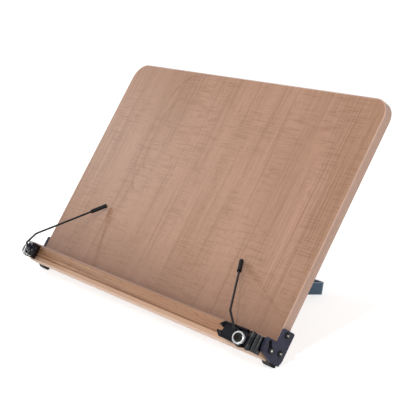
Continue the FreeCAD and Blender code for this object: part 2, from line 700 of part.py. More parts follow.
def make_hinge_pin(side, sign):
    """Make the pin through the hinge's knuckles."""
    frame = inside(BOARD_FRAME, f"{sign} * hinge_x", "0", "hinge_n", "1; 0; 0", "-90")
    body = new_body(f"hinge_pin_{side}", frame)
    low, high = "0 - hinge_low - pin_proud", "hinge_high + pin_proud"
    pin = turned(body, [("0", low), ("hinge_pin", low), ("hinge_pin", high), ("0", high)])
    bevelled(body, pin, "ends", "pin_proud / 2",
             lambda edge: edge.isClosed() and isinstance(edge.Curve, Part.Circle))
    return body


def make_page_arm(side, sign):
    """Make the channel that carries the knob, with its fishtail end and its hinge knuckle."""
    body = new_body(f"page_arm_{side}", arm_frame(sign))

    def along(distance):
        return f"{-sign} * ({distance})"

    notch_v = "(tip_high + tip_low) / 2"
    shape = [("arm_start", "arm_low"), ("arm_shoulder", "shoulder_low"),
             ("arm_length", "tip_low"),
             ("arm_length - arm_notch", f"{notch_v} - notch_width / 2"),
             ("arm_length - arm_notch", f"{notch_v} + notch_width / 2"),
             ("arm_length", "tip_high"), ("arm_shoulder", "shoulder_high"),
             ("arm_start", "arm_high")]
    channel = pad(body, outline(body, "channel", "XY_Plane",
                                [(along(s), v) for s, v in shape]), "arm_depth")
    for name, radius, spots in (("shoulders", "arm_round", (1, 6)),
                                ("tips", "tip_round", (2, 5))):
        tests = [upright_at(2, along(shape[spot][0]), shape[spot][1]) for spot in spots]
        channel = rounded(body, channel, name, radius,
                          lambda edge, tests=tests: any(test(edge) for test in tests))
    trough = [("arm_start - 1", "arm_low + arm_wall"),
              ("arm_shoulder - arm_wall / 3", "shoulder_low + arm_wall"),
              ("arm_length - arm_wall * 1.3", "tip_low"),
              ("arm_length", notch_v),
              ("arm_length - arm_wall * 1.3", "tip_high"),
              ("arm_shoulder - arm_wall / 3", "shoulder_high - arm_wall"),
              ("arm_start - 1", "arm_high - arm_wall")]
    groove = pocket(body, outline(body, "trough", "XY_Plane",
                                  [(along(s), v) for s, v in trough], "arm_floor"),
                    "arm_depth", backwards=True)
    floor = value("arm_floor")
    long_enough = value("(arm_shoulder - arm_start) / 2")

    def inner_corner(edge):
        place = middle(edge)
        lengthwise = isinstance(edge.Curve, Part.Line) and abs(edge.Curve.Direction.x) > 0.9
        return lengthwise and abs(place.z - floor) < 0.01 and edge.Length > long_enough
    rounded(body, groove, "trough_corners", "arm_wall * 0.7", inner_corner)
    boss = body.newObject("PartDesign::AdditiveCone", f"{body.Label}_boss")
    boss.setExpression("Radius1", bound("boss_radius"))
    boss.setExpression("Radius2", bound("boss_radius - boss_draw"))
    boss.setExpression("Height", bound("arm_floor"))
    boss.setExpression("Placement", bound(
        f"placement(vector({along('knob_s')}; knob_v; 0); rotation(vector(0; 0; 1); 0))"))
    doc.recompute()
    seat = rings(body, "knob_seat", "XY_Plane",
                 [(along("knob_s"), "knob_v", "knob_radius + knob_clear")], "arm_floor")
    pocket(body, seat, "arm_depth", backwards=True)
    clear = rings(body, "hinge_clear", "XZ_Plane", [("0", "0", "barrel_radius + 3 * run_gap")])
    pocket(body, clear, "(boss_radius + knob_v) * 4", both_ways=True)
    knuckle = rings(body, "knuckle", "XZ_Plane", [("0", "0", "barrel_radius")],
                    "0 - knuckle_low - run_gap")
    tall = "knuckle_high - knuckle_low - 2 * run_gap"
    pad(body, knuckle, tall, backwards=True)
    link = outline(body, "link", "XZ_Plane",
                   [("0", "0"), (along("arm_start + 1"), "0"),
                    (along("arm_start + 1"), "arm_floor"), ("0", "arm_floor")],
                   "0 - knuckle_low - run_gap")
    pad(body, link, tall, backwards=True)
    bore = rings(body, "pin_bore", "XZ_Plane", [("0", "0", "hinge_pin + run_gap / 2")],
                 "0 - knuckle_low")
    pocket(body, bore, "knuckle_high - knuckle_low")
    hole = rings(body, "shank_hole", "XY_Plane",
                 [(along("knob_s"), "knob_v", "knob_shank + run_gap")], "0 - 1")
    pocket(body, hole, "arm_depth + 2", backwards=True)
    return body


def make_wire_hub(side, sign):
    """Make the disc under the knob, with the lug that holds the page wire's foot."""
    frame = inside(arm_frame(sign), f"{-sign} * knob_s", "knob_v", "hub_base")
    body = new_body(f"wire_hub_{side}", frame)
    disc = rings(body, "disc", "XY_Plane", [("0", "0", "hub_radius")])
    pad(body, disc, "hub_thick")
    lug = new_sketch(body, "lug", "XY_Plane")
    trace_slot(lug, "0", "0", f"{-sign} * post_s", "post_v", "wire_radius + lug_wall")
    pad(body, lug, "hub_thick")
    bore = rings(body, "shank_bore", "XY_Plane", [("0", "0", "knob_shank + run_gap")])
    pocket(body, bore, "hub_thick", backwards=True)
    socket = rings(body, "wire_bore", "XY_Plane", [(f"{-sign} * post_s", "post_v", "wire_radius")])
    pocket(body, socket, "hub_thick", backwards=True)
    return body


def make_clamp_screw(side, sign):
    """Make the hollow-headed screw that clamps the wire hub to the arm."""
    frame = inside(arm_frame(sign), f"{-sign} * knob_s", "knob_v", "knob_seat")
    body = new_body(f"clamp_screw_{side}", frame)
    tail = "0 - knob_seat - shank_proud"
    head = turned(body, [("0", tail), ("knob_shank", tail), ("knob_shank", "0"),
                         ("knob_radius", "0"), ("knob_radius", "knob_rise"),
                         ("knob_bore", "knob_rise"), ("knob_bore", "knob_rise - knob_deep"),
                         ("0", "knob_rise - knob_deep")])
    rise, reach = value("knob_rise"), value("knob_radius")

    def rim(edge):
        circle = edge.isClosed() and isinstance(edge.Curve, Part.Circle)
        return circle and edge.Curve.Radius > 0.6 * reach and abs(middle(edge).z - rise) < 0.01
    rounded(body, head, "rim", "(knob_radius - knob_bore) * 0.3", rim)
    return body


# ---------------------------------------------------------------------------------------------
# Page wires
# ---------------------------------------------------------------------------------------------

def wire_points(side, sign):
    """Return the page wire's corners in the arm's frame, from its foot to the sleeve's nose."""
    def spot(s, v, m):
        return FreeCAD.Vector(-sign * value(s), value(v), value(m))
    foot = ("knob_s + post_s", "knob_v + post_v")
    return [spot(*foot, "hub_base"), spot(*foot, "post_top"),
            spot("bend_s", "bend_v", "bend_m"),
            spot(f"{side}_tip_s", f"{side}_tip_v", f"{side}_tip_m")]


def bent_path(points, radii):
    """Return a wire of straight runs joined by tangent arcs."""
    edges = []
    start = points[0]
    for before, corner, after, radius in zip(points, points[1:], points[2:], radii):
        back = (before - corner).normalize()
        ahead = (after - corner).normalize()
        half_angle = back.getAngle(ahead) / 2
        set_off = radius / math.tan(half_angle)
        centre = corner + (back + ahead).normalize() * (radius / math.sin(half_angle))
        first = corner + back * set_off
        last = corner + ahead * set_off
        midway = centre + (corner - centre).normalize() * radius
        edges.append(Part.LineSegment(start, first).toShape())
        edges.append(Part.Arc(first, midway, last).toShape())
        start = last
    edges.append(Part.LineSegment(start, points[-1]).toShape())
    return Part.Wire(edges)


def make_page_wire(side, sign):
    """Make the bent steel wire, from the hub's lug into the sleeve."""
    points = wire_points(side, sign)
    towards = (points[3] - points[2]).normalize()
    points[3] = points[3] - towards * value("sleeve_nose")
    path = bent_path(points, [value("post_bend"), value("wire_bend")])
    disc = Part.Wire(Part.Circle(points[0], FreeCAD.Vector(0, 0, 1),
                                 value("wire_radius")).toShape())
    feature = doc.addObject("Part::Feature", f"page_wire_{side}")
    feature.Label = f"page_wire_{side}"
    feature.Shape = path.makePipeShell([disc], True, False)
    feature.setExpression("Placement", bound(arm_frame(sign)))
    doc.recompute()
    return feature


def make_wire_tip(side, sign):
    """Make the rubber sleeve on the wire's end, along the wire's last run."""
    points = wire_points(side, sign)
    towards = (points[3] - points[2]).normalize()
    start = points[3] - towards * value("sleeve_length")
    up = FreeCAD.Vector(0, 0, 1)
    axis = up.cross(towards).normalize()
    angle = math.degrees(up.getAngle(towards))
    frame = inside(arm_frame(sign), f"({start.x})", f"({start.y})", f"({start.z})",
                   f"({axis.x}); ({axis.y}); ({axis.z})", f"({angle})")
    body = new_body(f"wire_tip_{side}", frame)
    depth = "sleeve_length - sleeve_nose"
    sleeve = turned(body, [("wire_radius", "0"), ("sleeve_radius", "0"),
                           ("sleeve_radius", "sleeve_length"), ("0", "sleeve_length"),
                           ("0", depth), ("wire_radius", depth)])
    nose = value("sleeve_length")
    rounded(body, sleeve, "nose", "sleeve_round",
            lambda edge: edge.isClosed() and abs(middle(edge).z - nose) < 0.01)
    return body


# ---------------------------------------------------------------------------------------------
# Rear bracket and leg
# ---------------------------------------------------------------------------------------------

# The stop pin stands beside the open leg: a step along it from the pivot, and square off it by
# half its height, the pin's radius and a gap.
OPEN_ANGLE = "(board_tilt + leg_slope)"
STOP_OFF = "(leg_height / 2 + stop_radius + stop_gap)"
STOP_V = f"pivot_v + stop_along * cos({OPEN_ANGLE}) - {STOP_OFF} * sin({OPEN_ANGLE})"
STOP_N = f"pivot_n - stop_along * sin({OPEN_ANGLE}) - {STOP_OFF} * cos({OPEN_ANGLE})"


def make_rear_bracket():
    """Make the folded steel bracket on the board's back, with an ear for each leg arm."""
    body = new_body("rear_bracket", BOARD_FRAME)
    back = "0 - board_thick"
    base = outline(body, "base", "YZ_Plane",
                   [("rear_low", back), ("rear_high", back), ("rear_high", "rear_face"),
                    ("rear_low", "rear_face")])
    pad(body, base, "ear_outer * 2", both_ways=True)
    corners = [("rear_low", back), ("rear_low", "0 - ear_deep"), ("ear_bottom", "0 - ear_deep"),
               ("ear_shoulder", "0 - ear_slope"), ("rear_high", "rear_face"),
               ("rear_high", back)]
    ears = outline(body, "ears", "YZ_Plane", corners)
    solid = pad(body, ears, "ear_outer * 2", both_ways=True)
    tests = [upright_at(0, *corners[spot]) for spot in (1, 2, 3)]
    rounded(body, solid, "ear_corners", "ear_round",
            lambda edge: any(test(edge) for test in tests))
    inner = "ear_outer - rear_thick"
    room = outline(body, "room", "YZ_Plane",
                   [("rear_low - 1", "rear_face"), ("rear_high + 1", "rear_face"),
                    ("rear_high + 1", "0 - ear_deep - 1"), ("rear_low - 1", "0 - ear_deep - 1")])
    pocket(body, room, f"({inner}) * 2", both_ways=True)
    pivots = rings(body, "pivot_holes", "YZ_Plane",
                   [("pivot_v", "pivot_n", "rivet_radius"), (STOP_V, STOP_N, "stop_radius")])
    pocket(body, pivots, "ear_outer * 2 + 2", both_ways=True)
    spots = [(f"{sign} * rear_screw_x", height, "screw_radius")
             for sign in (1, -1)
             for height in ("rear_low + rear_screw_inset", "rear_high - rear_screw_inset")]
    holes = rings(body, "screw_holes", "XY_Plane", spots, back)
    pocket(body, holes, "rear_thick")
    return body


def make_leg_rivet(side, sign):
    """Make the rivet that the leg turns on, with a head inside the ear and one outside the leg."""
    frame = inside(BOARD_FRAME, f"{sign} * (leg_half + run_gap)", "pivot_v", "pivot_n",
                   "0; 1; 0", f"{sign * 90}")
    body = new_body(f"leg_rivet_{side}", frame)
    seat = "0 - leg_thick - 2 * run_gap - rear_thick"
    back = f"{seat} - rivet_rise"
    rivet = turned(body, [("0", back), ("rivet_head", back), ("rivet_head", seat),
                          ("rivet_radius", seat), ("rivet_radius", "0"), ("rivet_head", "0"),
                          ("rivet_head", "rivet_rise"), ("0", "rivet_rise")])
    rise, low = value("rivet_rise"), value(back)

    def rim(edge):
        height = middle(edge).z
        return edge.isClosed() and (abs(height - rise) < 0.01 or abs(height - low) < 0.01)
    rounded(body, rivet, "domes", "rivet_rise * 0.7", rim)
    return body


def make_stop_pin(side, sign):
    """Make the pin in the ear that stops the open leg."""
    frame = inside(BOARD_FRAME, f"{sign} * ear_outer", STOP_V, STOP_N, "0; 1; 0", f"{sign * 90}")
    body = new_body(f"leg_stop_pin_{side}", frame)
    turned(body, [("0", "0 - rear_thick"), ("stop_radius", "0 - rear_thick"),
                  ("stop_radius", "leg_thick"), ("0", "leg_thick")])
    return body


def make_leg_strap():
    """Make the leg: a steel strap on edge, bent to a U, with rounded ends at its pivots."""
    body = new_body("leg_strap", LEG_FRAME)
    tail, far = "0 - leg_height / 2", "leg_reach + leg_thick / 2"
    block = outline(body, "outside", "XY_Plane",
                    [("0 - leg_half", tail), ("leg_half", tail), ("leg_half", far),
                     ("0 - leg_half", far)])
    solid = pad(body, block, "leg_height", both_ways=True)
    half, end = value("leg_half"), value(far)

    def corner_at(half_width, distance):
        def test(edge):
            place = middle(edge)
            return (runs_along(edge, 2) and abs(abs(place.x) - half_width) < 0.01
                    and abs(place.y - distance) < 0.01)
        return test
    rounded(body, solid, "bends", "leg_corner", corner_at(half, end))
    inner_half, inner_far = "leg_half - leg_thick", "leg_reach - leg_thick / 2"
    room = new_sketch(body, "inside", "XY_Plane")
    trace_bay(room, inner_half, inner_far, "leg_corner - leg_thick", f"{tail} - 1")
    cut = pocket(body, room, "leg_height + 2", both_ways=True)
    tail_now, edge_now = value(tail), value("leg_height / 2")

    def tail_edge(edge):
        place = middle(edge)
        return (runs_along(edge, 0) and abs(place.y - tail_now) < 0.01
                and abs(abs(place.z) - edge_now) < 0.01)
    rounded(body, cut, "tails", "leg_height / 2 - 0.05", tail_edge)
    pivots = rings(body, "pivot_holes", "YZ_Plane", [("0", "0", "rivet_radius + run_gap / 2")])
    pocket(body, pivots, "leg_half * 2 + 2", both_ways=True)

    def table(distance):
        return f"(({distance}) * sin(leg_slope) - pivot_z) / cos(leg_slope)"
    near, beyond = "leg_reach - leg_height", "leg_reach + leg_height"
    under = outline(body, "rest_face", "YZ_Plane",
                    [(near, table(near)), (beyond, table(beyond)),
                     (beyond, f"{table(beyond)} - leg_height"),
                     (near, f"{table(near)} - leg_height")])
    pocket(body, under, "leg_half * 2 + 2", both_ways=True)
    return body


def trace_bay(sketch, half, far, radius, near):
    """Draw a rectangle from near to far along Y, with its two far corners rounded."""
    half_now, far_now, radius_now, near_now = (value(item) for item in (half, far, radius, near))
    flat, shoulder = half_now - radius_now, far_now - radius_now
    up = FreeCAD.Vector(0, 0, 1)
    corners = [FreeCAD.Vector(x, y, 0) for x, y in
               ((-half_now, near_now), (half_now, near_now), (half_now, shoulder),
                (flat, far_now), (-flat, far_now), (-half_now, shoulder))]
    right = Part.Circle(FreeCAD.Vector(flat, shoulder, 0), up, radius_now)
    left = Part.Circle(FreeCAD.Vector(-flat, shoulder, 0), up, radius_now)
    sketch.addGeometry(Part.LineSegment(corners[0], corners[1]))
    sketch.addGeometry(Part.LineSegment(corners[1], corners[2]))
    sketch.addGeometry(Part.ArcOfCircle(right, 0, math.pi / 2))
    sketch.addGeometry(Part.LineSegment(corners[3], corners[4]))
    sketch.addGeometry(Part.ArcOfCircle(left, math.pi / 2, math.pi))
    sketch.addGeometry(Part.LineSegment(corners[5], corners[0]))
    sketch.addConstraint(Sketcher.Constraint("Coincident", 0, 2, 1, 1))
    sketch.addConstraint(Sketcher.Constraint("Tangent", 1, 2, 2, 1))
    sketch.addConstraint(Sketcher.Constraint("Tangent", 2, 2, 3, 1))
    sketch.addConstraint(Sketcher.Constraint("Tangent", 3, 2, 4, 1))
    sketch.addConstraint(Sketcher.Constraint("Tangent", 4, 2, 5, 1))
    sketch.addConstraint(Sketcher.Constraint("Coincident", 5, 2, 0, 1))
    pin_down(sketch, 0, 1, f"0 - ({half})", near)
    pin_down(sketch, 0, 2, half, near)
    pin_down(sketch, 2, 3, f"{half} - ({radius})", f"{far} - ({radius})")
    pin_down(sketch, 4, 3, f"({radius}) - ({half})", f"{far} - ({radius})")
    number = sketch.addConstraint(Sketcher.Constraint("Radius", 2, radius_now))
    sketch.setExpression(f"Constraints[{number}]", bound(radius))
    doc.recompute()


def make_all():
    """Make every sub-part and return them in order."""
    parts = [make_board_panel(), make_edge_band(), make_ledge_rail(), make_rear_bracket(),
             make_leg_strap()]
    for side, sign in SIDES:
        parts.append(make_side_bracket(side, sign))
        for level, spot_v, spot_n in SCREW_SPOTS:
            parts.append(make_side_screw(side, sign, level, spot_v, spot_n))
        for maker in (make_ledge_pin, make_foot, make_hinge_block, make_hinge_pin, make_page_arm,
                      make_wire_hub, make_clamp_screw, make_page_wire, make_wire_tip,
                      make_leg_rivet, make_stop_pin):
            parts.append(maker(side, sign))
    spots = [(sign, height) for sign in (1, -1)
             for height in ("rear_low + rear_screw_inset", "rear_high - rear_screw_inset")]
    for number, (sign, height) in enumerate(spots, start=1):
        parts.append(make_rear_screw(number, sign, height))
    return parts


def check(parts):
    """Raise an error unless every object is sound and every sub-part is one valid solid."""
    doc.recompute()
    for item in doc.Objects:
        if "Invalid" in item.State or "Error" in item.State:
            raise RuntimeError(f"{item.Name} failed: {item.State}")
    for part in parts:
        shape = part.Shape
        if shape.isNull() or not shape.isValid() or len(shape.Solids) != 1:
            raise RuntimeError(f"{part.Label} is not one valid solid")


sub_parts = make_all()
check(sub_parts)
os.makedirs("parts", exist_ok=True)
for sub_part in sub_parts:
    sub_part.Shape.exportStep(os.path.join("parts", sub_part.Label + ".step"))
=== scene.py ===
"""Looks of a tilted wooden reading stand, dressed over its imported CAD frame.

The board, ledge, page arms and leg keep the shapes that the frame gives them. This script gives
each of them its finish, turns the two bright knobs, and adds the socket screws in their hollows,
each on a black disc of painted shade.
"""

from __future__ import annotations

import logging
import math
from collections.abc import Iterable
from dataclasses import dataclass
from enum import Enum

import bmesh
import bpy
from mathutils import Matrix, Vector

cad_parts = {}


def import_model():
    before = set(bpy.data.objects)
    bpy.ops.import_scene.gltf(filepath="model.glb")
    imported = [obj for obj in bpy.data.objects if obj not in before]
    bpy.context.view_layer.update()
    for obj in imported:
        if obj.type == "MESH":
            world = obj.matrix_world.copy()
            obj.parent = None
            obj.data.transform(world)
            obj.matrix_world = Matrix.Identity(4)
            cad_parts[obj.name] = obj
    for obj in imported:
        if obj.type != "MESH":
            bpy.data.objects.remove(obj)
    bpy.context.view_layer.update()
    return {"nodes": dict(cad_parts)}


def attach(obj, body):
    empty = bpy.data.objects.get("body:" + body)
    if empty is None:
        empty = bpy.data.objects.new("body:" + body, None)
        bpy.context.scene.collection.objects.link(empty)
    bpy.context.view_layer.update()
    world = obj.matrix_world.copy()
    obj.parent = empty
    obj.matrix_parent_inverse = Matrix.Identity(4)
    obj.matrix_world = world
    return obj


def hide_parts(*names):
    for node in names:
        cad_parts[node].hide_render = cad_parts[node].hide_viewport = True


log = logging.getLogger("reading_stand")

MM = 0.001
PER_METRE = 1000
IN_MM = (PER_METRE, PER_METRE, PER_METRE)
SIXTH_TURN = math.tau / 6

# Sockets of a Mix node set to colours: its share, the two colours that it mixes, and its result.
MIX_SHARE, MIX_FROM, MIX_TO, MIX_RESULT = 0, 6, 7, 2


class Side(Enum):
    """The stand's two sides, each with its sign along x."""

    RIGHT = 1
    LEFT = -1

    @property
    def word(self) -> str:
        """Return the side's word in the names of nodes and bodies."""
        return self.name.lower()


class Grain(Enum):
    """Which way the grain of a wooden piece runs, in the board's own frame."""

    UP_THE_BOARD = "up"
    ALONG_THE_LEDGE = "along"


def linear(code: str) -> tuple[float, float, float, float]:
    """Turn an sRGB hex colour into linear red, green, blue and alpha.

    Args:
        code: Six hex digits.

    Returns:
        The four channels, with alpha 1.
    """
    channels = [int(code[start:start + 2], 16) / 255 for start in (0, 2, 4)]
    red, green, blue = (
        channel / 12.92 if channel <= 0.04045 else ((channel + 0.055) / 1.055) ** 2.4
        for channel in channels)
    return red, green, blue, 1.0


def add_node(tree: bpy.types.NodeTree, kind: str, inputs: dict | None = None,
             **settings: object) -> bpy.types.Node:
    """Add a node, set its properties, and fill or link its inputs.

    Args:
        tree: The node tree that gets the node.
        kind: The node's type name.
        inputs: Socket names or numbers, with a value or an output socket for each.
        **settings: Properties of the node.

    Returns:
        The new node.
    """
    node = tree.nodes.new(kind)
    for name, setting in settings.items():
        setattr(node, name, setting)
    for socket, value in (inputs or {}).items():
        if isinstance(value, bpy.types.NodeSocket):
            tree.links.new(value, node.inputs[socket])
        else:
            node.inputs[socket].default_value = value
    return node


def start_material(name: str, metallic: float, roughness: float,
                   gloss: float = 0.5) -> tuple[bpy.types.Material, bpy.types.Node]:
    """Make a material that holds one Principled shader and its output.

    Args:
        name: The material's name.
        metallic: The shader's metallic value.
        roughness: The shader's roughness.
        gloss: The shader's specular level.

    Returns:
        The material and its shader node.
    """
    material = bpy.data.materials.new(name)
    material.use_nodes = True
    tree = material.node_tree
    tree.nodes.clear()
    shader = add_node(tree, "ShaderNodeBsdfPrincipled",
                      {"Metallic": metallic, "Roughness": roughness,
                       "Specular IOR Level": gloss})
    add_node(tree, "ShaderNodeOutputMaterial", {"Surface": shader.outputs["BSDF"]})
    return material, shader


@dataclass(frozen=True)
class BoardFrame:
    """The tilted frame of the board: x along the ledge, y up the board, z out of its face.

    The board's materials read Object coordinates turned by the tilt alone, so that their axes are
    the board's and their start is the object's origin.
    """

    tilt: float = math.radians(56.27)
    heel: tuple[float, float, float] = (0.0, -74.38, 10.13)

    def matrix(self) -> Matrix:
        """Return the matrix from the board's frame to the object's frame."""
        return Matrix.Translation(Vector(self.heel) * MM) @ Matrix.Rotation(self.tilt, 4, "X")

    def turned(self, height: float, depth: float = 0.0) -> Vector:
        """Return the turned coordinates, in mm, of a height up the board and a depth out of it."""
        point = self.matrix() @ (Vector((0.0, height, depth)) * MM)
        return Matrix.Rotation(-self.tilt, 3, "X") @ point * PER_METRE

    def coordinates(self, tree: bpy.types.NodeTree, scale: tuple[float, float, float],
                    shift: tuple[float, float, float] = (0.0, 0.0, 0.0),
                    ) -> bpy.types.NodeSocket:
        """Return the turned coordinates, scaled and then shifted.

        Args:
            tree: The material's node tree.
            scale: How many units of texture lie in one metre along each axis.
            shift: What is added along each axis, in units of texture.

        Returns:
            The output socket that carries the coordinates.
        """
        place = add_node(tree, "ShaderNodeTexCoord").outputs["Object"]
        turned = add_node(tree, "ShaderNodeMapping",
                          {"Vector": place, "Rotation": (-self.tilt, 0.0, 0.0)})
        return add_node(tree, "ShaderNodeMapping",
                        {"Vector": turned.outputs["Vector"], "Location": shift,
                         "Scale": scale}).outputs["Vector"]


BOARD = BoardFrame()


@dataclass(frozen=True)
class CathedralArches:
    """Thin nested arches high on the left of the board, where the log was cut flat.

    They are parts of ellipses round one middle. Reach counts outwards from it, and is 1 on the
    ellipse with the half width and half length given here. A fade is the pair of values at which
    the arches are gone and at which they are whole.

    Attributes:
        middle: The ellipses' middle, in millimetres of the turned coordinates.
        half_width: Half the width at a reach of 1, in millimetres.
        half_length: Half the length at a reach of 1, in millimetres.
        bend: How far noise bends the ellipses, as a reach.
        bend_scale: Scale of that noise.
        ring_pace: Radians of the rings' wave for each 1 of reach, with a ring to each turn.
        ring_start: The wave's angle at the middle, in radians.
        ring_edge: Height of the wave above which a ring shows.
        outer_fade: Reaches outside the arches.
        inner_fade: Reaches inside them.
        side_fade: Reaches across the middle, from right to left, so only left sides show.
        front_fade: Depths in millimetres of the turned coordinates, so the back has none.
        gap_scale: Scale of the noise that breaks the arches into pieces.
        gap_fade: Levels of that noise.
        gap_rest: Share of an arch that stays in a gap.
        depth: How far the arches go towards the wood's deep colour.
    """

    middle: tuple[float, float] = (-80.0, 143.0)
    half_width: float = 30.0
    half_length: float = 65.0
    bend: float = 0.22
    bend_scale: float = 1.3
    ring_pace: float = 17.95
    ring_start: float = 2.2
    ring_edge: float = 0.70
    outer_fade: tuple[float, float] = (1.3, 1.1)
    inner_fade: tuple[float, float] = (0.45, 0.6)
    side_fade: tuple[float, float] = (0.2, -0.4)
    front_fade: tuple[float, float] = (61.0, 65.0)
    gap_scale: float = 2.6
    gap_fade: tuple[float, float] = (0.42, 0.6)
    gap_rest: float = 0.35
    depth: float = 0.55

    def add(self, tree: bpy.types.NodeTree) -> bpy.types.NodeSocket:
        """Add the arches to a material.

        Args:
            tree: The material's node tree.

        Returns:
            The socket that carries how strongly the arches show.
        """
        across, up = self.middle
        centred = BOARD.coordinates(
            tree, (PER_METRE / self.half_width, PER_METRE / self.half_length, 0.0),
            (-across / self.half_width, -up / self.half_length, 0.0))
        wobble = add_node(tree, "ShaderNodeTexNoise",
                          {"Vector": centred, "Scale": self.bend_scale, "Detail": 2.0})
        bent = add_node(tree, "ShaderNodeVectorMath",
                        {0: wobble.outputs["Color"], 1: (self.bend, self.bend, 0.0),
                         2: centred}, operation="MULTIPLY_ADD")
        reach = add_node(tree, "ShaderNodeVectorMath", {0: bent.outputs[0]},
                         operation="LENGTH").outputs["Value"]
        wave = add_node(tree, "ShaderNodeMath",
                        {0: reach, 1: self.ring_pace, 2: self.ring_start},
                        operation="MULTIPLY_ADD")
        ring = add_node(tree, "ShaderNodeMath", {0: wave.outputs[0]}, operation="SINE")
        shown = add_node(tree, "ShaderNodeMapRange",
                         {"Value": ring.outputs[0], "From Min": self.ring_edge,
                          "From Max": 1.0, "To Max": self.depth}).outputs["Result"]
        side = add_node(tree, "ShaderNodeSeparateXYZ", {0: centred}).outputs["X"]
        front = add_node(tree, "ShaderNodeSeparateXYZ",
                         {0: BOARD.coordinates(tree, IN_MM)}).outputs["Z"]
        gaps = add_node(tree, "ShaderNodeTexNoise",
                        {"Vector": centred, "Scale": self.gap_scale, "Detail": 1.0})
        for value, (gone, whole), rest in ((reach, self.outer_fade, 0.0),
                                           (reach, self.inner_fade, 0.0),
                                           (side, self.side_fade, 0.0),
                                           (front, self.front_fade, 0.0),
                                           (gaps.outputs["Fac"], self.gap_fade, self.gap_rest)):
            fade = add_node(tree, "ShaderNodeMapRange",
                            {"Value": value, "From Min": gone, "From Max": whole,
                             "To Min": rest})
            shown = add_node(tree, "ShaderNodeMath", {0: shown, 1: fade.outputs["Result"]},
                             operation="MULTIPLY").outputs[0]
        return shown


@dataclass(frozen=True)
class Stripe:
    """A tint of painted light or shade, growing up or down the board from one height to another.

    Attributes:
        start: Height where the tint begins, in millimetres.
        whole: Height where it is whole, above or below the start.
        colour: The tint's colour.
        share: How much of the tint shows where it is whole.
    """

    start: float
    whole: float
    colour: str
    share: float

    def add(self, tree: bpy.types.NodeTree,
            wood: bpy.types.NodeSocket) -> bpy.types.NodeSocket:
        """Tint the wood.

        Args:
            tree: The material's node tree.
            wood: The wood's colour so far.

        Returns:
            The tinted colour's socket.
        """
        height = add_node(tree, "ShaderNodeSeparateXYZ", {0: BOARD.coordinates(tree, IN_MM)})
        share = add_node(tree, "ShaderNodeMapRange",
                         {"Value": height.outputs["Y"], "From Min": BOARD.turned(self.start).y,
                          "From Max": BOARD.turned(self.whole).y, "To Max": self.share})
        return add_node(tree, "ShaderNodeMix",
                        {MIX_SHARE: share.outputs["Result"], MIX_FROM: wood,
                         MIX_TO: linear(self.colour)}, data_type="RGBA").outputs[MIX_RESULT]


@dataclass(frozen=True)
class Figure:
    """One layer of the wood's figure: noise stretched along the grain.

    Attributes:
        width: Size across the grain, in widths of the wood's own lines, bands or ripples.
        length: Size along the grain, in millimetres.
        low: Level of the noise that shows nothing.
        high: Level of the noise that shows the whole layer.
        strength: Share of the depth that the layer is given.
        detail: Octaves of finer noise.
    """

    width: float
    length: float
    low: float
    high: float
    strength: float = 1.0
    detail: float = 2.0


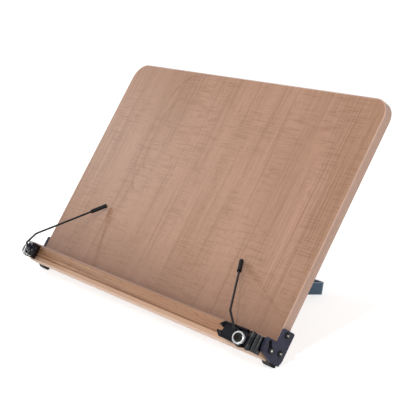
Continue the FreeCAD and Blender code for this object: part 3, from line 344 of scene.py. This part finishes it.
@dataclass(frozen=True)
class MapleLaminate:
    """Figured maple laminate under a satin lacquer.

    Thin lines run along the grain in bands that come and go, short curly ripples cross it, broad
    patches drift in tone, and fine flecks stand a little proud. The finest lines of real maple,
    under 0.3 mm, are drawn about 1 mm wide so that they show.

    Attributes:
        name: The material's name.
        pale: Colour of the palest patches.
        mid: Colour of the darkest patches.
        deep: Colour that every other layer goes towards.
        grain: Which way the grain runs.
        line_mm: Width of the thin lines, which the streaks and flecks count in too.
        line_depth: How far lines, streaks and flecks go towards the deep colour.
        band_mm: Width of the bands, which the patches and curls count in too.
        ripple_mm: How far a ripple runs across the grain.
        ripple_depth: How far the ripples go towards the deep colour.
        roughness: The lacquer's roughness.
        gloss: The shader's specular level.
        noise_roughness: How strong each finer octave of the noise is beside the one before.
        fleck_bump: Strength of the flecks' bump.
        fleck_height_mm: Height of the flecks.
        patches: Broad patches between the pale and the mid colour.
        bands: Bands in which the lines show.
        curls: Areas in which the ripples show.
        streaks: Wide and faint lines.
        lines: Thin lines.
        flecks: Short fine marks along the grain.
        ripples: Short marks across the grain.
        arches: The arches, which only the board's face has.
        stripes: Tints of painted light and shade over all of that.
    """

    name: str = "maple_laminate"
    pale: str = "BA9078"
    mid: str = "AF866C"
    deep: str = "865E44"
    grain: Grain = Grain.UP_THE_BOARD
    line_mm: float = 1.5
    line_depth: float = 0.50
    band_mm: float = 34.0
    ripple_mm: float = 20.0
    ripple_depth: float = 0.42
    roughness: float = 0.46
    gloss: float = 0.32
    noise_roughness: float = 0.55
    fleck_bump: float = 0.15
    fleck_height_mm: float = 0.2
    patches: Figure = Figure(width=1.6, length=260.0, low=0.36, high=0.64)
    bands: Figure = Figure(width=1.0, length=240.0, low=0.34, high=0.60)
    curls: Figure = Figure(width=0.8, length=70.0, low=0.36, high=0.62)
    streaks: Figure = Figure(width=4.0, length=190.0, low=0.56, high=0.74, strength=0.8)
    lines: Figure = Figure(width=1.0, length=160.0, low=0.45, high=0.62, detail=3.0)
    flecks: Figure = Figure(width=0.8, length=9.0, low=0.57, high=0.72, strength=0.85)
    ripples: Figure = Figure(width=1.0, length=1.5, low=0.46, high=0.66)
    arches: CathedralArches | None = None
    stripes: tuple[Stripe, ...] = ()

    def noise(self, tree: bpy.types.NodeTree, figure: Figure, unit: float,
              depth: float = 1.0) -> bpy.types.NodeSocket:
        """Add one layer's noise.

        Args:
            tree: The material's node tree.
            figure: The layer.
            unit: Millimetres that the layer's width counts in: a line, a band or a ripple.
            depth: The highest value that comes out of a layer of strength 1.

        Returns:
            The socket that carries the result.
        """
        wide, long = PER_METRE / (unit * figure.width), PER_METRE / figure.length
        up_the_board = self.grain is Grain.UP_THE_BOARD
        scale = (wide, long, wide) if up_the_board else (long, wide, wide)
        noise = add_node(tree, "ShaderNodeTexNoise",
                         {"Vector": BOARD.coordinates(tree, scale), "Scale": 1.0,
                          "Detail": figure.detail, "Roughness": self.noise_roughness})
        return add_node(tree, "ShaderNodeMapRange",
                        {"Value": noise.outputs["Fac"], "From Min": figure.low,
                         "From Max": figure.high,
                         "To Max": depth * figure.strength}).outputs["Result"]

    def layers(self, tree: bpy.types.NodeTree) -> dict[str, bpy.types.NodeSocket]:
        """Add the layers of figure that go towards the deep colour.

        Args:
            tree: The material's node tree.

        Returns:
            The layers' sockets by name, in the order in which they lie over each other.
        """
        lines = add_node(tree, "ShaderNodeMath",
                         {0: self.noise(tree, self.lines, self.line_mm),
                          1: self.noise(tree, self.bands, self.band_mm, self.line_depth)},
                         operation="MULTIPLY")
        ripples = add_node(tree, "ShaderNodeMath",
                           {0: self.noise(tree, self.ripples, self.ripple_mm),
                            1: self.noise(tree, self.curls, self.band_mm, self.ripple_depth)},
                           operation="MULTIPLY")
        layers = {"streaks": self.noise(tree, self.streaks, self.line_mm, self.line_depth),
                  "lines": lines.outputs[0],
                  "ripples": ripples.outputs[0],
                  "flecks": self.noise(tree, self.flecks, self.line_mm, self.line_depth)}
        if self.arches:
            layers["arches"] = self.arches.add(tree)
        return layers

    def make(self) -> bpy.types.Material:
        """Build the material.

        Returns:
            The material.
        """
        material, shader = start_material(self.name, metallic=0.0, roughness=self.roughness,
                                          gloss=self.gloss)
        tree = material.node_tree
        colour = add_node(tree, "ShaderNodeMix",
                          {MIX_SHARE: self.noise(tree, self.patches, self.band_mm),
                           MIX_FROM: linear(self.pale), MIX_TO: linear(self.mid)},
                          data_type="RGBA").outputs[MIX_RESULT]
        layers = self.layers(tree)
        for layer in layers.values():
            colour = add_node(tree, "ShaderNodeMix",
                              {MIX_SHARE: layer, MIX_FROM: colour, MIX_TO: linear(self.deep)},
                              data_type="RGBA").outputs[MIX_RESULT]
        for stripe in self.stripes:
            colour = stripe.add(tree, colour)
        tree.links.new(colour, shader.inputs["Base Color"])
        bump = add_node(tree, "ShaderNodeBump",
                        {"Height": layers["flecks"], "Strength": self.fleck_bump,
                         "Distance": self.fleck_height_mm * MM})
        tree.links.new(bump.outputs["Normal"], shader.inputs["Normal"])
        return material


@dataclass(frozen=True)
class SpeckledCoat:
    """A sprayed, plated or moulded surface: fine grit in the bump and a little colour drift.

    Real grit is finer than 0.3 mm, and is drawn 0.4 to 1.2 mm wide so that it shows.

    Attributes:
        name: The material's name.
        colour: Colour where the grit and the patches are low.
        drift: Colour where they are high.
        grit_mm: Size of the grit as drawn.
        roughness: Roughness of the surface, between that of low and high grit.
        metallic: The shader's metallic value.
        bump: Strength of the grit's bump.
        gloss: The shader's specular level.
        grit_height_mm: Height of the grit.
        patches_per_metre: How many patches of tone lie in a metre.
        drift_from: Sum of grit and patches at which the drift begins.
        drift_whole: Sum at which it is whole.
        shinier: How far the roughness falls where the grit is low.
        duller: How far it rises where the grit is high.
    """

    name: str
    colour: str
    drift: str
    grit_mm: float
    roughness: float
    metallic: float = 0.0
    bump: float = 0.25
    gloss: float = 0.5
    grit_height_mm: float = 0.1
    patches_per_metre: float = 60.0
    drift_from: float = 0.8
    drift_whole: float = 1.25
    shinier: float = 0.06
    duller: float = 0.08

    def make(self) -> bpy.types.Material:
        """Build the material.

        Returns:
            The material.
        """
        material, shader = start_material(self.name, self.metallic, self.roughness, self.gloss)
        tree = material.node_tree
        place = add_node(tree, "ShaderNodeTexCoord").outputs["Object"]
        grit = add_node(tree, "ShaderNodeTexNoise",
                        {"Vector": place, "Scale": PER_METRE / self.grit_mm,
                         "Detail": 2.0}).outputs["Fac"]
        patches = add_node(tree, "ShaderNodeTexNoise",
                           {"Vector": place, "Scale": self.patches_per_metre, "Detail": 3.0})
        both = add_node(tree, "ShaderNodeMath", {0: patches.outputs["Fac"], 1: grit},
                        operation="ADD")
        share = add_node(tree, "ShaderNodeMapRange",
                         {"Value": both.outputs[0], "From Min": self.drift_from,
                          "From Max": self.drift_whole})
        colour = add_node(tree, "ShaderNodeMix",
                          {MIX_SHARE: share.outputs["Result"], MIX_FROM: linear(self.colour),
                           MIX_TO: linear(self.drift)}, data_type="RGBA")
        tree.links.new(colour.outputs[MIX_RESULT], shader.inputs["Base Color"])
        sheen = add_node(tree, "ShaderNodeMapRange",
                         {"Value": grit, "To Min": self.roughness - self.shinier,
                          "To Max": self.roughness + self.duller})
        tree.links.new(sheen.outputs["Result"], shader.inputs["Roughness"])
        bump = add_node(tree, "ShaderNodeBump",
                        {"Height": grit, "Strength": self.bump,
                         "Distance": self.grit_height_mm * MM})
        tree.links.new(bump.outputs["Normal"], shader.inputs["Normal"])
        return material


@dataclass(frozen=True)
class WornScrew:
    """Blackened screw steel whose paint has gone from the middle of each end screw.

    Attributes:
        name: The material's name.
        paint: Colour of the paint where its grit is low.
        paint_drift: Colour of the paint where its grit is high.
        bare: Colour of the bare steel.
        metallic: The shader's metallic value.
        roughness: The shader's roughness.
        middles: Each screw's height up the board and depth out of its face, in millimetres.
        bare_mm: Radius of the bare spot.
        edge_mm: How far its edge fades to each side.
        grit_mm: Size of the grit in the paint, as drawn.
    """

    name: str = "worn_black_screw_steel"
    paint: str = "1B1B20"
    paint_drift: str = "2A2A2F"
    bare: str = "C9C6BC"
    metallic: float = 0.75
    roughness: float = 0.3
    middles: tuple[tuple[float, float], ...] = ((23.0, -5.0), (7.1, -6.4), (5.5, 5.2))
    bare_mm: float = 0.95
    edge_mm: float = 0.15
    grit_mm: float = 0.4

    def nearest_middle(self, tree: bpy.types.NodeTree) -> bpy.types.NodeSocket:
        """Add the distance to the nearest screw's middle.

        Args:
            tree: The material's node tree.

        Returns:
            The socket that carries the distance, in millimetres.
        """
        place = BOARD.coordinates(tree, (0.0, PER_METRE, PER_METRE))
        gaps = [add_node(tree, "ShaderNodeVectorMath",
                         {0: place, 1: (0.0, *BOARD.turned(*middle).yz)},
                         operation="DISTANCE").outputs["Value"] for middle in self.middles]
        nearest = gaps[0]
        for gap in gaps[1:]:
            nearest = add_node(tree, "ShaderNodeMath", {0: nearest, 1: gap},
                               operation="MINIMUM").outputs[0]
        return nearest

    def make(self) -> bpy.types.Material:
        """Build the material.

        Returns:
            The material.
        """
        material, shader = start_material(self.name, self.metallic, self.roughness)
        tree = material.node_tree
        bare = add_node(tree, "ShaderNodeMapRange",
                        {"Value": self.nearest_middle(tree),
                         "From Min": self.bare_mm + self.edge_mm,
                         "From Max": self.bare_mm - self.edge_mm})
        grit = add_node(tree, "ShaderNodeTexNoise",
                        {"Vector": add_node(tree, "ShaderNodeTexCoord").outputs["Object"],
                         "Scale": PER_METRE / self.grit_mm})
        paint = add_node(tree, "ShaderNodeMix",
                         {MIX_SHARE: grit.outputs["Fac"], MIX_FROM: linear(self.paint),
                          MIX_TO: linear(self.paint_drift)}, data_type="RGBA")
        colour = add_node(tree, "ShaderNodeMix",
                          {MIX_SHARE: bare.outputs["Result"],
                           MIX_FROM: paint.outputs[MIX_RESULT], MIX_TO: linear(self.bare)},
                          data_type="RGBA")
        tree.links.new(colour.outputs[MIX_RESULT], shader.inputs["Base Color"])
        return material


Finish = MapleLaminate | SpeckledCoat | WornScrew

# Powder-coated steel of the plates, hubs and rear bracket: a matt charcoal skin with fine grit.
POWDER_COAT = SpeckledCoat(name="powder_coated_steel", colour="353549", drift="2A2A3A",
                           grit_mm=1.1, roughness=0.5, bump=0.5, gloss=0.25)
# Painted zinc casting of the page arms: smooth and glossy, so the ribs catch long glints.
PAINTED_ZINC = SpeckledCoat(name="painted_zinc_casting", colour="0B0D18", drift="06070D",
                            grit_mm=0.8, roughness=0.12, bump=0.10, gloss=0.24)
# The same casting in the hinge blocks, where the paint has pooled: glossier, sharper glints.
POOLED_ZINC = SpeckledCoat(name="glossy_painted_zinc", colour="080A15", drift="05060B",
                           grit_mm=0.8, roughness=0.1, bump=0.10, gloss=0.48)
# Painted spring wire: near-black enamel over drawn steel.
ENAMEL_WIRE = SpeckledCoat(name="enamelled_spring_wire", colour="10121A", drift="0A0B10",
                           grit_mm=0.6, roughness=0.35, bump=0.1, gloss=0.22)
# Moulded rubber of the feet and wire tips: matt black with a faint bloom.
MOULDED_RUBBER = SpeckledCoat(name="moulded_rubber", colour="0A0A0D", drift="111113",
                              grit_mm=0.6, roughness=0.5, gloss=0.18)
# Blue-grey enamel on the leg's rolled strap: an even skin with a soft sheen.
LEG_ENAMEL = SpeckledCoat(name="blue_grey_enamel", colour="5D7A92", drift="516A80",
                          grit_mm=0.7, roughness=0.36, bump=0.12, gloss=0.3)
# Nickel-plated turned steel of the knobs: bright, and broken a little so it isn't a mirror.
BRIGHT_NICKEL = SpeckledCoat(name="nickel_plated_steel", colour="DAD9DA", drift="B8B8BA",
                             grit_mm=1.2, roughness=0.2, metallic=1.0, bump=0.15)
# Blackened steel of the hinge pins and of the screws in the knobs: dark, with small glints. The
# same steel makes the black disc of painted shade under each knob's screw.
BLACK_OXIDE = SpeckledCoat(name="black_oxide_steel", colour="3A3733", drift="1A1917",
                           grit_mm=0.4, roughness=0.2, metallic=0.8)
# Zinc-plated steel of the rivets, stops and screws behind the board: grey and softly bright.
ZINC_PLATE = SpeckledCoat(name="zinc_plated_steel", colour="9A9DA0", drift="85888C",
                          grit_mm=0.4, roughness=0.35, metallic=1.0)
# Blackened steel of the end screws, worn bright in the middle.
WORN_SCREW = WornScrew()
# The board's face, its edge band and the ledge are the same maple in three shades. The board has
# painted shade that darkens it towards the ledge.
BOARD_MAPLE = MapleLaminate(arches=CathedralArches(),
                            stripes=(Stripe(start=70.0, whole=8.0, colour="805B49",
                                            share=0.55),))
# The band round the board's edge is paler, partly a tone of its own and partly painted light on
# its side faces, and it has a painted grey highlight along the board's top edge.
BAND_MAPLE = MapleLaminate(name="maple_edge_band", pale="D4B3A2", mid="CBA897", deep="A9846F",
                           line_depth=0.3, ripple_depth=0.0,
                           stripes=(Stripe(start=240.3, whole=241.2, colour="CBB9B2",
                                           share=0.6),))
# The ledge is browner, with finer and deeper lines. Its lower front and foot are paler with
# painted light from below, the foot partly also a pinker tone of its own, and its top is greyer
# with painted shade.
LEDGE_MAPLE = MapleLaminate(name="maple_ledge", pale="B58B6D", mid="A27555", deep="734628",
                            grain=Grain.ALONG_THE_LEDGE, line_mm=1.1, line_depth=0.8,
                            band_mm=5.0, ripple_depth=0.0,
                            stripes=(Stripe(start=1.9, whole=1.3, colour="D0A88C",
                                            share=0.75),
                                     Stripe(start=-1.9, whole=-2.2, colour="E3C4B0",
                                            share=0.95),
                                     Stripe(start=12.3, whole=13.3, colour="95786C",
                                            share=0.65)))


class Wardrobe:
    """Makes each finish once and puts it on CAD nodes or new pieces."""

    def __init__(self, nodes: dict[str, bpy.types.Object]) -> None:
        """Keep the CAD nodes by name."""
        self.nodes = nodes
        self.made: dict[str, bpy.types.Material] = {}

    def material(self, finish: Finish) -> bpy.types.Material:
        """Make a finish's material on first use.

        Args:
            finish: The finish.

        Returns:
            Its material.
        """
        if finish.name not in self.made:
            self.made[finish.name] = finish.make()
        return self.made[finish.name]

    def dress(self, finish: Finish, *names: str) -> None:
        """Put a finish on CAD nodes.

        Args:
            finish: The finish.
            *names: The nodes' names.
        """
        for name in names:
            mesh = self.nodes[name].data
            mesh.materials.clear()
            mesh.materials.append(self.material(finish))
            log.info("dressed %s in %s", name, finish.name)


@dataclass
class Board:
    """The board, its edge band, its end plates with their screws, and its feet."""

    wardrobe: Wardrobe

    def dress(self) -> None:
        """Put the finishes on the board's nodes."""
        self.wardrobe.dress(BOARD_MAPLE, "board_panel")
        self.wardrobe.dress(BAND_MAPLE, "edge_band")
        for side in Side:
            self.wardrobe.dress(POWDER_COAT, f"side_bracket_{side.word}")
            self.wardrobe.dress(WORN_SCREW, f"bracket_screw_{side.word}_upper",
                                f"bracket_screw_{side.word}_lower")
            self.wardrobe.dress(MOULDED_RUBBER, f"foot_{side.word}")


@dataclass
class Ledge:
    """The ledge, its pins and its hinge blocks."""

    wardrobe: Wardrobe

    def dress(self) -> None:
        """Put the finishes on the ledge's nodes."""
        self.wardrobe.dress(LEDGE_MAPLE, "ledge_rail")
        for side in Side:
            self.wardrobe.dress(POOLED_ZINC, f"hinge_block_{side.word}")
            self.wardrobe.dress(BLACK_OXIDE, f"hinge_pin_{side.word}")
            self.wardrobe.dress(WORN_SCREW, f"ledge_pin_{side.word}")


@dataclass
class PageArms:
    """The page arms, with the knobs, hubs and page wires that they carry.

    Sizes are in millimetres, and the open angle is in degrees.

    Attributes:
        hinge_x: How far each hinge stands to its side of the middle.
        hinge_n: How far it stands out of the board's face.
        knob_s: How far each knob stands from its hinge, towards the middle.
        knob_v: How far it stands up the board.
        knob_profile: Radius and height of each corner of the knob's turned outline.
        knurls: Grooves round the knob's waist.
        knurl_band: Heights between which they are cut.
        knurl_draw: What a groove leaves of the radius.
        weld: Distance at which corners of the turned shape become one.
        liner_foot: Height of the black disc of painted shade, just clear of the hollow's floor.
        liner_radius: Radius of that disc.
        liner_thick: Its thickness.
        socket_radius: Radius of the socket screw's head.
        socket_height: Its height above the washer.
        socket_bevel: Width of the rounding on its rim.
        socket_land: Width of the flat ring between the rounding and the recess.
        socket_sides: Sides of the washer and the head.
        hex_flat: Distance from the middle of the recess to each of its flats.
        hex_deep: Depth of the recess.
    """

    wardrobe: Wardrobe
    hinge_x: float = 183.0
    hinge_n: float = 21.0
    open_angle: float = 20.0
    knob_s: float = 8.0
    knob_v: float = 3.4
    knob_profile: tuple[tuple[float, float], ...] = (
        (0.0, -0.6), (1.8, -0.6), (2.0, -0.4), (2.0, 3.05), (5.1, 3.05), (5.35, 3.3),
        (5.4, 3.45), (5.4, 4.8), (5.2, 4.95), (4.85, 5.1), (4.85, 5.4), (5.35, 5.65),
        (5.45, 5.8), (5.45, 6.8), (5.35, 7.1), (5.05, 7.38), (4.75, 7.45), (4.3, 7.4),
        (4.05, 7.2), (4.0, 6.9), (4.0, 4.4), (0.0, 4.4))
    knurls: int = 28
    knurl_band: tuple[float, float] = (3.4, 4.9)
    knurl_draw: float = 0.975
    weld: float = 0.0001
    liner_foot: float = 4.42
    liner_radius: float = 3.9
    liner_thick: float = 0.5
    socket_radius: float = 2.8
    socket_height: float = 1.3
    socket_bevel: float = 0.35
    socket_land: float = 0.4
    socket_sides: int = 48
    hex_flat: float = 1.7
    hex_deep: float = 1.1

    def knob_matrix(self, side: Side, height: float) -> Matrix:
        """Return the matrix from a height on a knob's axis to the object's frame.

        Args:
            side: The arm's side.
            height: Height above the knob's seat, in millimetres.

        Returns:
            The matrix.
        """
        hinge = Matrix.Translation(Vector((side.value * self.hinge_x, 0, self.hinge_n)) * MM)
        turn = Matrix.Rotation(math.radians(side.value * self.open_angle), 4, "Y")
        knob = Matrix.Translation(
            Vector((-side.value * self.knob_s, self.knob_v, height)) * MM)
        return BOARD.matrix() @ hinge @ turn @ knob

    def put_in_place(self, shape: bmesh.types.BMesh, name: str, side: Side, height: float,
                     finish: Finish) -> bpy.types.Object:
        """Turn a finished shape into a piece that stands on a knob's axis.

        Args:
            shape: The shape, which is freed.
            name: The piece's name without its side.
            side: The arm's side.
            height: Height of the shape's origin above the knob's seat, in millimetres.
            finish: The piece's finish.

        Returns:
            The piece, which rides on the arm's clamp.
        """
        bmesh.ops.transform(shape, matrix=self.knob_matrix(side, height), verts=shape.verts)
        mesh = bpy.data.meshes.new(f"{name}_{side.word}")
        shape.to_mesh(mesh)
        shape.free()
        mesh.materials.append(self.wardrobe.material(finish))
        piece = bpy.data.objects.new(mesh.name, mesh)
        bpy.context.collection.objects.link(piece)
        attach(piece, f"clamp_{side.word}")
        log.info("built %s", piece.name)
        return piece

    def add_knob(self, side: Side) -> None:
        """Add the turned clamp screw with its grooved and knurled head.

        Args:
            side: The arm's side.
        """
        shape = bmesh.new()
        verts = [shape.verts.new((radius * MM, 0, height * MM))
                 for radius, height in self.knob_profile]
        edges = [shape.edges.new(pair) for pair in zip(verts, verts[1:])]
        steps = self.knurls * 2
        bmesh.ops.spin(shape, geom=verts + edges, axis=(0, 0, 1), cent=(0, 0, 0),
                       angle=math.tau, steps=steps, use_merge=True)
        bmesh.ops.remove_doubles(shape, verts=shape.verts, dist=self.weld * MM)
        bottom, top = self.knurl_band
        for vert in shape.verts:
            step = round(math.atan2(vert.co.y, vert.co.x) / math.tau * steps)
            if bottom * MM < vert.co.z < top * MM and step % 2:
                vert.co.x *= self.knurl_draw
                vert.co.y *= self.knurl_draw
        bmesh.ops.recalc_face_normals(shape, faces=shape.faces)
        piece = self.put_in_place(shape, "knob", side, 0.0, BRIGHT_NICKEL)
        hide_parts(f"clamp_screw_{side.word}")

    def add_socket(self, side: Side) -> None:
        """Add the socket screw that stands in the knob's hollow, on a black disc of painted shade.

        Args:
            side: The arm's side.
        """
        shape = bmesh.new()
        # The disc under the screw's head covers the hollow's bright floor with painted shade.
        bmesh.ops.create_cone(shape, cap_ends=True, segments=self.socket_sides,
                              radius1=self.liner_radius * MM, radius2=self.liner_radius * MM,
                              depth=self.liner_thick * MM)
        lid = max(shape.faces, key=lambda face: face.calc_center_median().z)
        bmesh.ops.inset_individual(shape, faces=[lid], depth=0.0,
                                   thickness=(self.liner_radius - self.socket_radius) * MM)
        lid = bmesh.ops.extrude_discrete_faces(shape, faces=[lid])["faces"][0]
        bmesh.ops.translate(shape, verts=list(lid.verts), vec=(0, 0, self.socket_height * MM))
        bmesh.ops.bevel(shape, geom=list(lid.edges), offset=self.socket_bevel * MM,
                        offset_type="OFFSET", segments=2, profile=0.5, affect="EDGES",
                        material=-1)
        # The lid is now the largest of the highest faces, to the nearest micrometre.
        lid = max(shape.faces, key=lambda face: (round(face.calc_center_median().z, 6),
                                                 face.calc_area()))
        bmesh.ops.inset_individual(shape, faces=[lid], thickness=self.socket_land * MM,
                                   depth=0.0)
        for vert in lid.verts:
            angle = math.atan2(vert.co.y, vert.co.x)
            from_flat = (angle + SIXTH_TURN / 2) % SIXTH_TURN - SIXTH_TURN / 2
            reach = self.hex_flat * MM / math.cos(from_flat)
            vert.co.x, vert.co.y = reach * math.cos(angle), reach * math.sin(angle)
        recess = bmesh.ops.extrude_discrete_faces(shape, faces=[lid])["faces"][0]
        bmesh.ops.translate(shape, verts=list(recess.verts), vec=(0, 0, -self.hex_deep * MM))
        piece = self.put_in_place(shape, "knob_socket", side,
                                  self.liner_foot + self.liner_thick / 2, BLACK_OXIDE)

    def build(self) -> None:
        """Put the finishes on the arms' nodes, and add the knobs and their sockets."""
        for side in Side:
            self.wardrobe.dress(PAINTED_ZINC, f"page_arm_{side.word}")
            self.wardrobe.dress(POWDER_COAT, f"wire_hub_{side.word}")
            self.wardrobe.dress(ENAMEL_WIRE, f"page_wire_{side.word}")
            self.wardrobe.dress(MOULDED_RUBBER, f"wire_tip_{side.word}")
            self.add_knob(side)
            self.add_socket(side)


@dataclass
class RearLeg:
    """The folding leg and its bracket."""

    wardrobe: Wardrobe
    screws: int = 4

    def dress(self) -> None:
        """Put the finishes on the leg's nodes."""
        self.wardrobe.dress(LEG_ENAMEL, "leg_strap")
        self.wardrobe.dress(POWDER_COAT, "rear_bracket")
        for number in range(1, self.screws + 1):
            self.wardrobe.dress(ZINC_PLATE, f"rear_screw_{number}")
        for side in Side:
            self.wardrobe.dress(ZINC_PLATE, f"leg_rivet_{side.word}",
                                f"leg_stop_pin_{side.word}")


@dataclass(frozen=True)
class Softbox:
    """A square lamp that points at the stand's middle, with sizes in metres, power in watts."""

    name: str
    place: tuple[float, float, float]
    size: float
    power: float
    target: tuple[float, float, float] = (0.0, 0.0, 0.1)

    def add(self) -> None:
        """Put the lamp in the scene."""
        lamp = bpy.data.lights.new(self.name, "AREA")
        lamp.shape = "SQUARE"
        lamp.size = self.size
        lamp.energy = self.power
        holder = bpy.data.objects.new(self.name, lamp)
        aim = Vector(self.target) - Vector(self.place)
        turn = aim.to_track_quat("-Z", "Y").to_matrix().to_4x4()
        holder.matrix_world = Matrix.Translation(self.place) @ turn
        bpy.context.collection.objects.link(holder)


@dataclass
class Studio:
    """A pale floor, a white surround, soft lamps and the camera.

    Attributes:
        lens: The camera's focal length, in millimetres.
        sensor_width: Width of its sensor, in millimetres.
        sight: How far it sees, in metres.
        place: Where the camera stands, in metres.
        aim: The direction in which it looks.
        floor_half: Half the floor's width, in metres.
        floor_colour: What the floor reflects.
        floor_roughness: The floor's roughness.
        floor_glow: How strongly the floor shines for rays that look at it.
        white: Colour of the floor's glow and of the surround.
        low_light: Strength of the surround's light at and below the horizon.
        high_light: Its strength overhead.
        lamps: The lamps.
    """

    lens: float = 99.61
    sensor_width: float = 36.0
    sight: float = 100.0
    place: tuple[float, float, float] = (0.8650, -0.6576, 0.3414)
    aim: tuple[float, float, float] = (-0.77199, 0.59467, -0.22451)
    floor_half: float = 12.0
    floor_colour: str = "F4F3F1"
    floor_roughness: float = 0.9
    floor_glow: float = 0.66
    white: str = "FFFFFF"
    low_light: float = 0.67
    high_light: float = 0.32
    lamps: tuple[Softbox, ...] = (
        Softbox("left_lamp", place=(-1.15, -0.33, 0.57), size=0.05, power=2.0),
        Softbox("key_lamp", place=(0.60, -0.60, 1.15), size=0.05, power=4.0),
        Softbox("front_softbox", place=(0.55, -1.30, 0.25), size=0.6, power=2.4),
        Softbox("glint_softbox", place=(0.53, -0.77, 0.66), size=0.16, power=1.6),
    )

    def add_camera(self) -> None:
        """Add the camera and make it the scene's."""
        camera = bpy.data.cameras.new("camera")
        camera.lens = self.lens
        camera.sensor_width = self.sensor_width
        camera.clip_end = self.sight
        holder = bpy.data.objects.new("camera", camera)
        turn = Vector(self.aim).to_track_quat("-Z", "Y").to_matrix().to_4x4()
        holder.matrix_world = Matrix.Translation(self.place) @ turn
        bpy.context.collection.objects.link(holder)
        bpy.context.scene.camera = holder

    def looked_at(self, tree: bpy.types.NodeTree) -> bpy.types.NodeSocket:
        """Tell the rays that show a surface from those that only carry its light.

        Args:
            tree: The node tree of the floor or the surround.

        Returns:
            The socket that is 1 for camera, glossy and transmission rays.
        """
        path = add_node(tree, "ShaderNodeLightPath")
        seen = path.outputs["Is Camera Ray"]
        for ray in ("Is Glossy Ray", "Is Transmission Ray"):
            seen = add_node(tree, "ShaderNodeMath", {0: seen, 1: path.outputs[ray]},
                            operation="MAXIMUM").outputs[0]
        return seen

    def add_floor(self) -> None:
        """Add the floor that the stand rests on."""
        shape = bmesh.new()
        bmesh.ops.create_grid(shape, x_segments=1, y_segments=1, size=self.floor_half)
        mesh = bpy.data.meshes.new("floor")
        shape.to_mesh(mesh)
        shape.free()
        material, shader = start_material("studio_floor", metallic=0.0,
                                          roughness=self.floor_roughness)
        shader.inputs["Base Color"].default_value = linear(self.floor_colour)
        shader.inputs["Emission Color"].default_value = linear(self.white)
        tree = material.node_tree
        glow = add_node(tree, "ShaderNodeMath",
                        {0: self.looked_at(tree), 1: self.floor_glow}, operation="MULTIPLY")
        tree.links.new(glow.outputs[0], shader.inputs["Emission Strength"])
        mesh.materials.append(material)
        floor = bpy.data.objects.new("floor", mesh)
        bpy.context.collection.objects.link(floor)

    def add_world(self) -> None:
        """Add a surround that looks white and lights softly."""
        world = bpy.data.worlds.new("surround")
        world.use_nodes = True
        tree = world.node_tree
        tree.nodes.clear()
        sky = add_node(tree, "ShaderNodeTexCoord")
        height = add_node(tree, "ShaderNodeSeparateXYZ", {0: sky.outputs["Generated"]})
        level = add_node(tree, "ShaderNodeMapRange",
                         {"Value": height.outputs["Z"], "To Min": self.low_light,
                          "To Max": self.high_light})
        light = add_node(tree, "ShaderNodeBackground",
                         {"Color": linear(self.white), "Strength": level.outputs["Result"]})
        backdrop = add_node(tree, "ShaderNodeBackground",
                            {"Color": linear(self.white), "Strength": 1.0})
        mixed = add_node(tree, "ShaderNodeMixShader",
                         {0: self.looked_at(tree), 1: light.outputs[0],
                          2: backdrop.outputs[0]})
        add_node(tree, "ShaderNodeOutputWorld", {"Surface": mixed.outputs[0]})
        bpy.context.scene.world = world

    def build(self) -> None:
        """Set up the studio."""
        self.add_camera()
        self.add_floor()
        self.add_world()
        for lamp in self.lamps:
            lamp.add()
        bpy.context.scene.view_settings.view_transform = "Standard"


def main() -> None:
    """Set up the studio, dress the frame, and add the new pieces."""
    logging.basicConfig(level=logging.INFO, format="%(name)s: %(message)s")
    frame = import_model()
    wardrobe = Wardrobe(frame["nodes"])
    Studio().build()
    Board(wardrobe).dress()
    Ledge(wardrobe).dress()
    PageArms(wardrobe).build()
    RearLeg(wardrobe).dress()


if __name__ == "__main__":
    main()
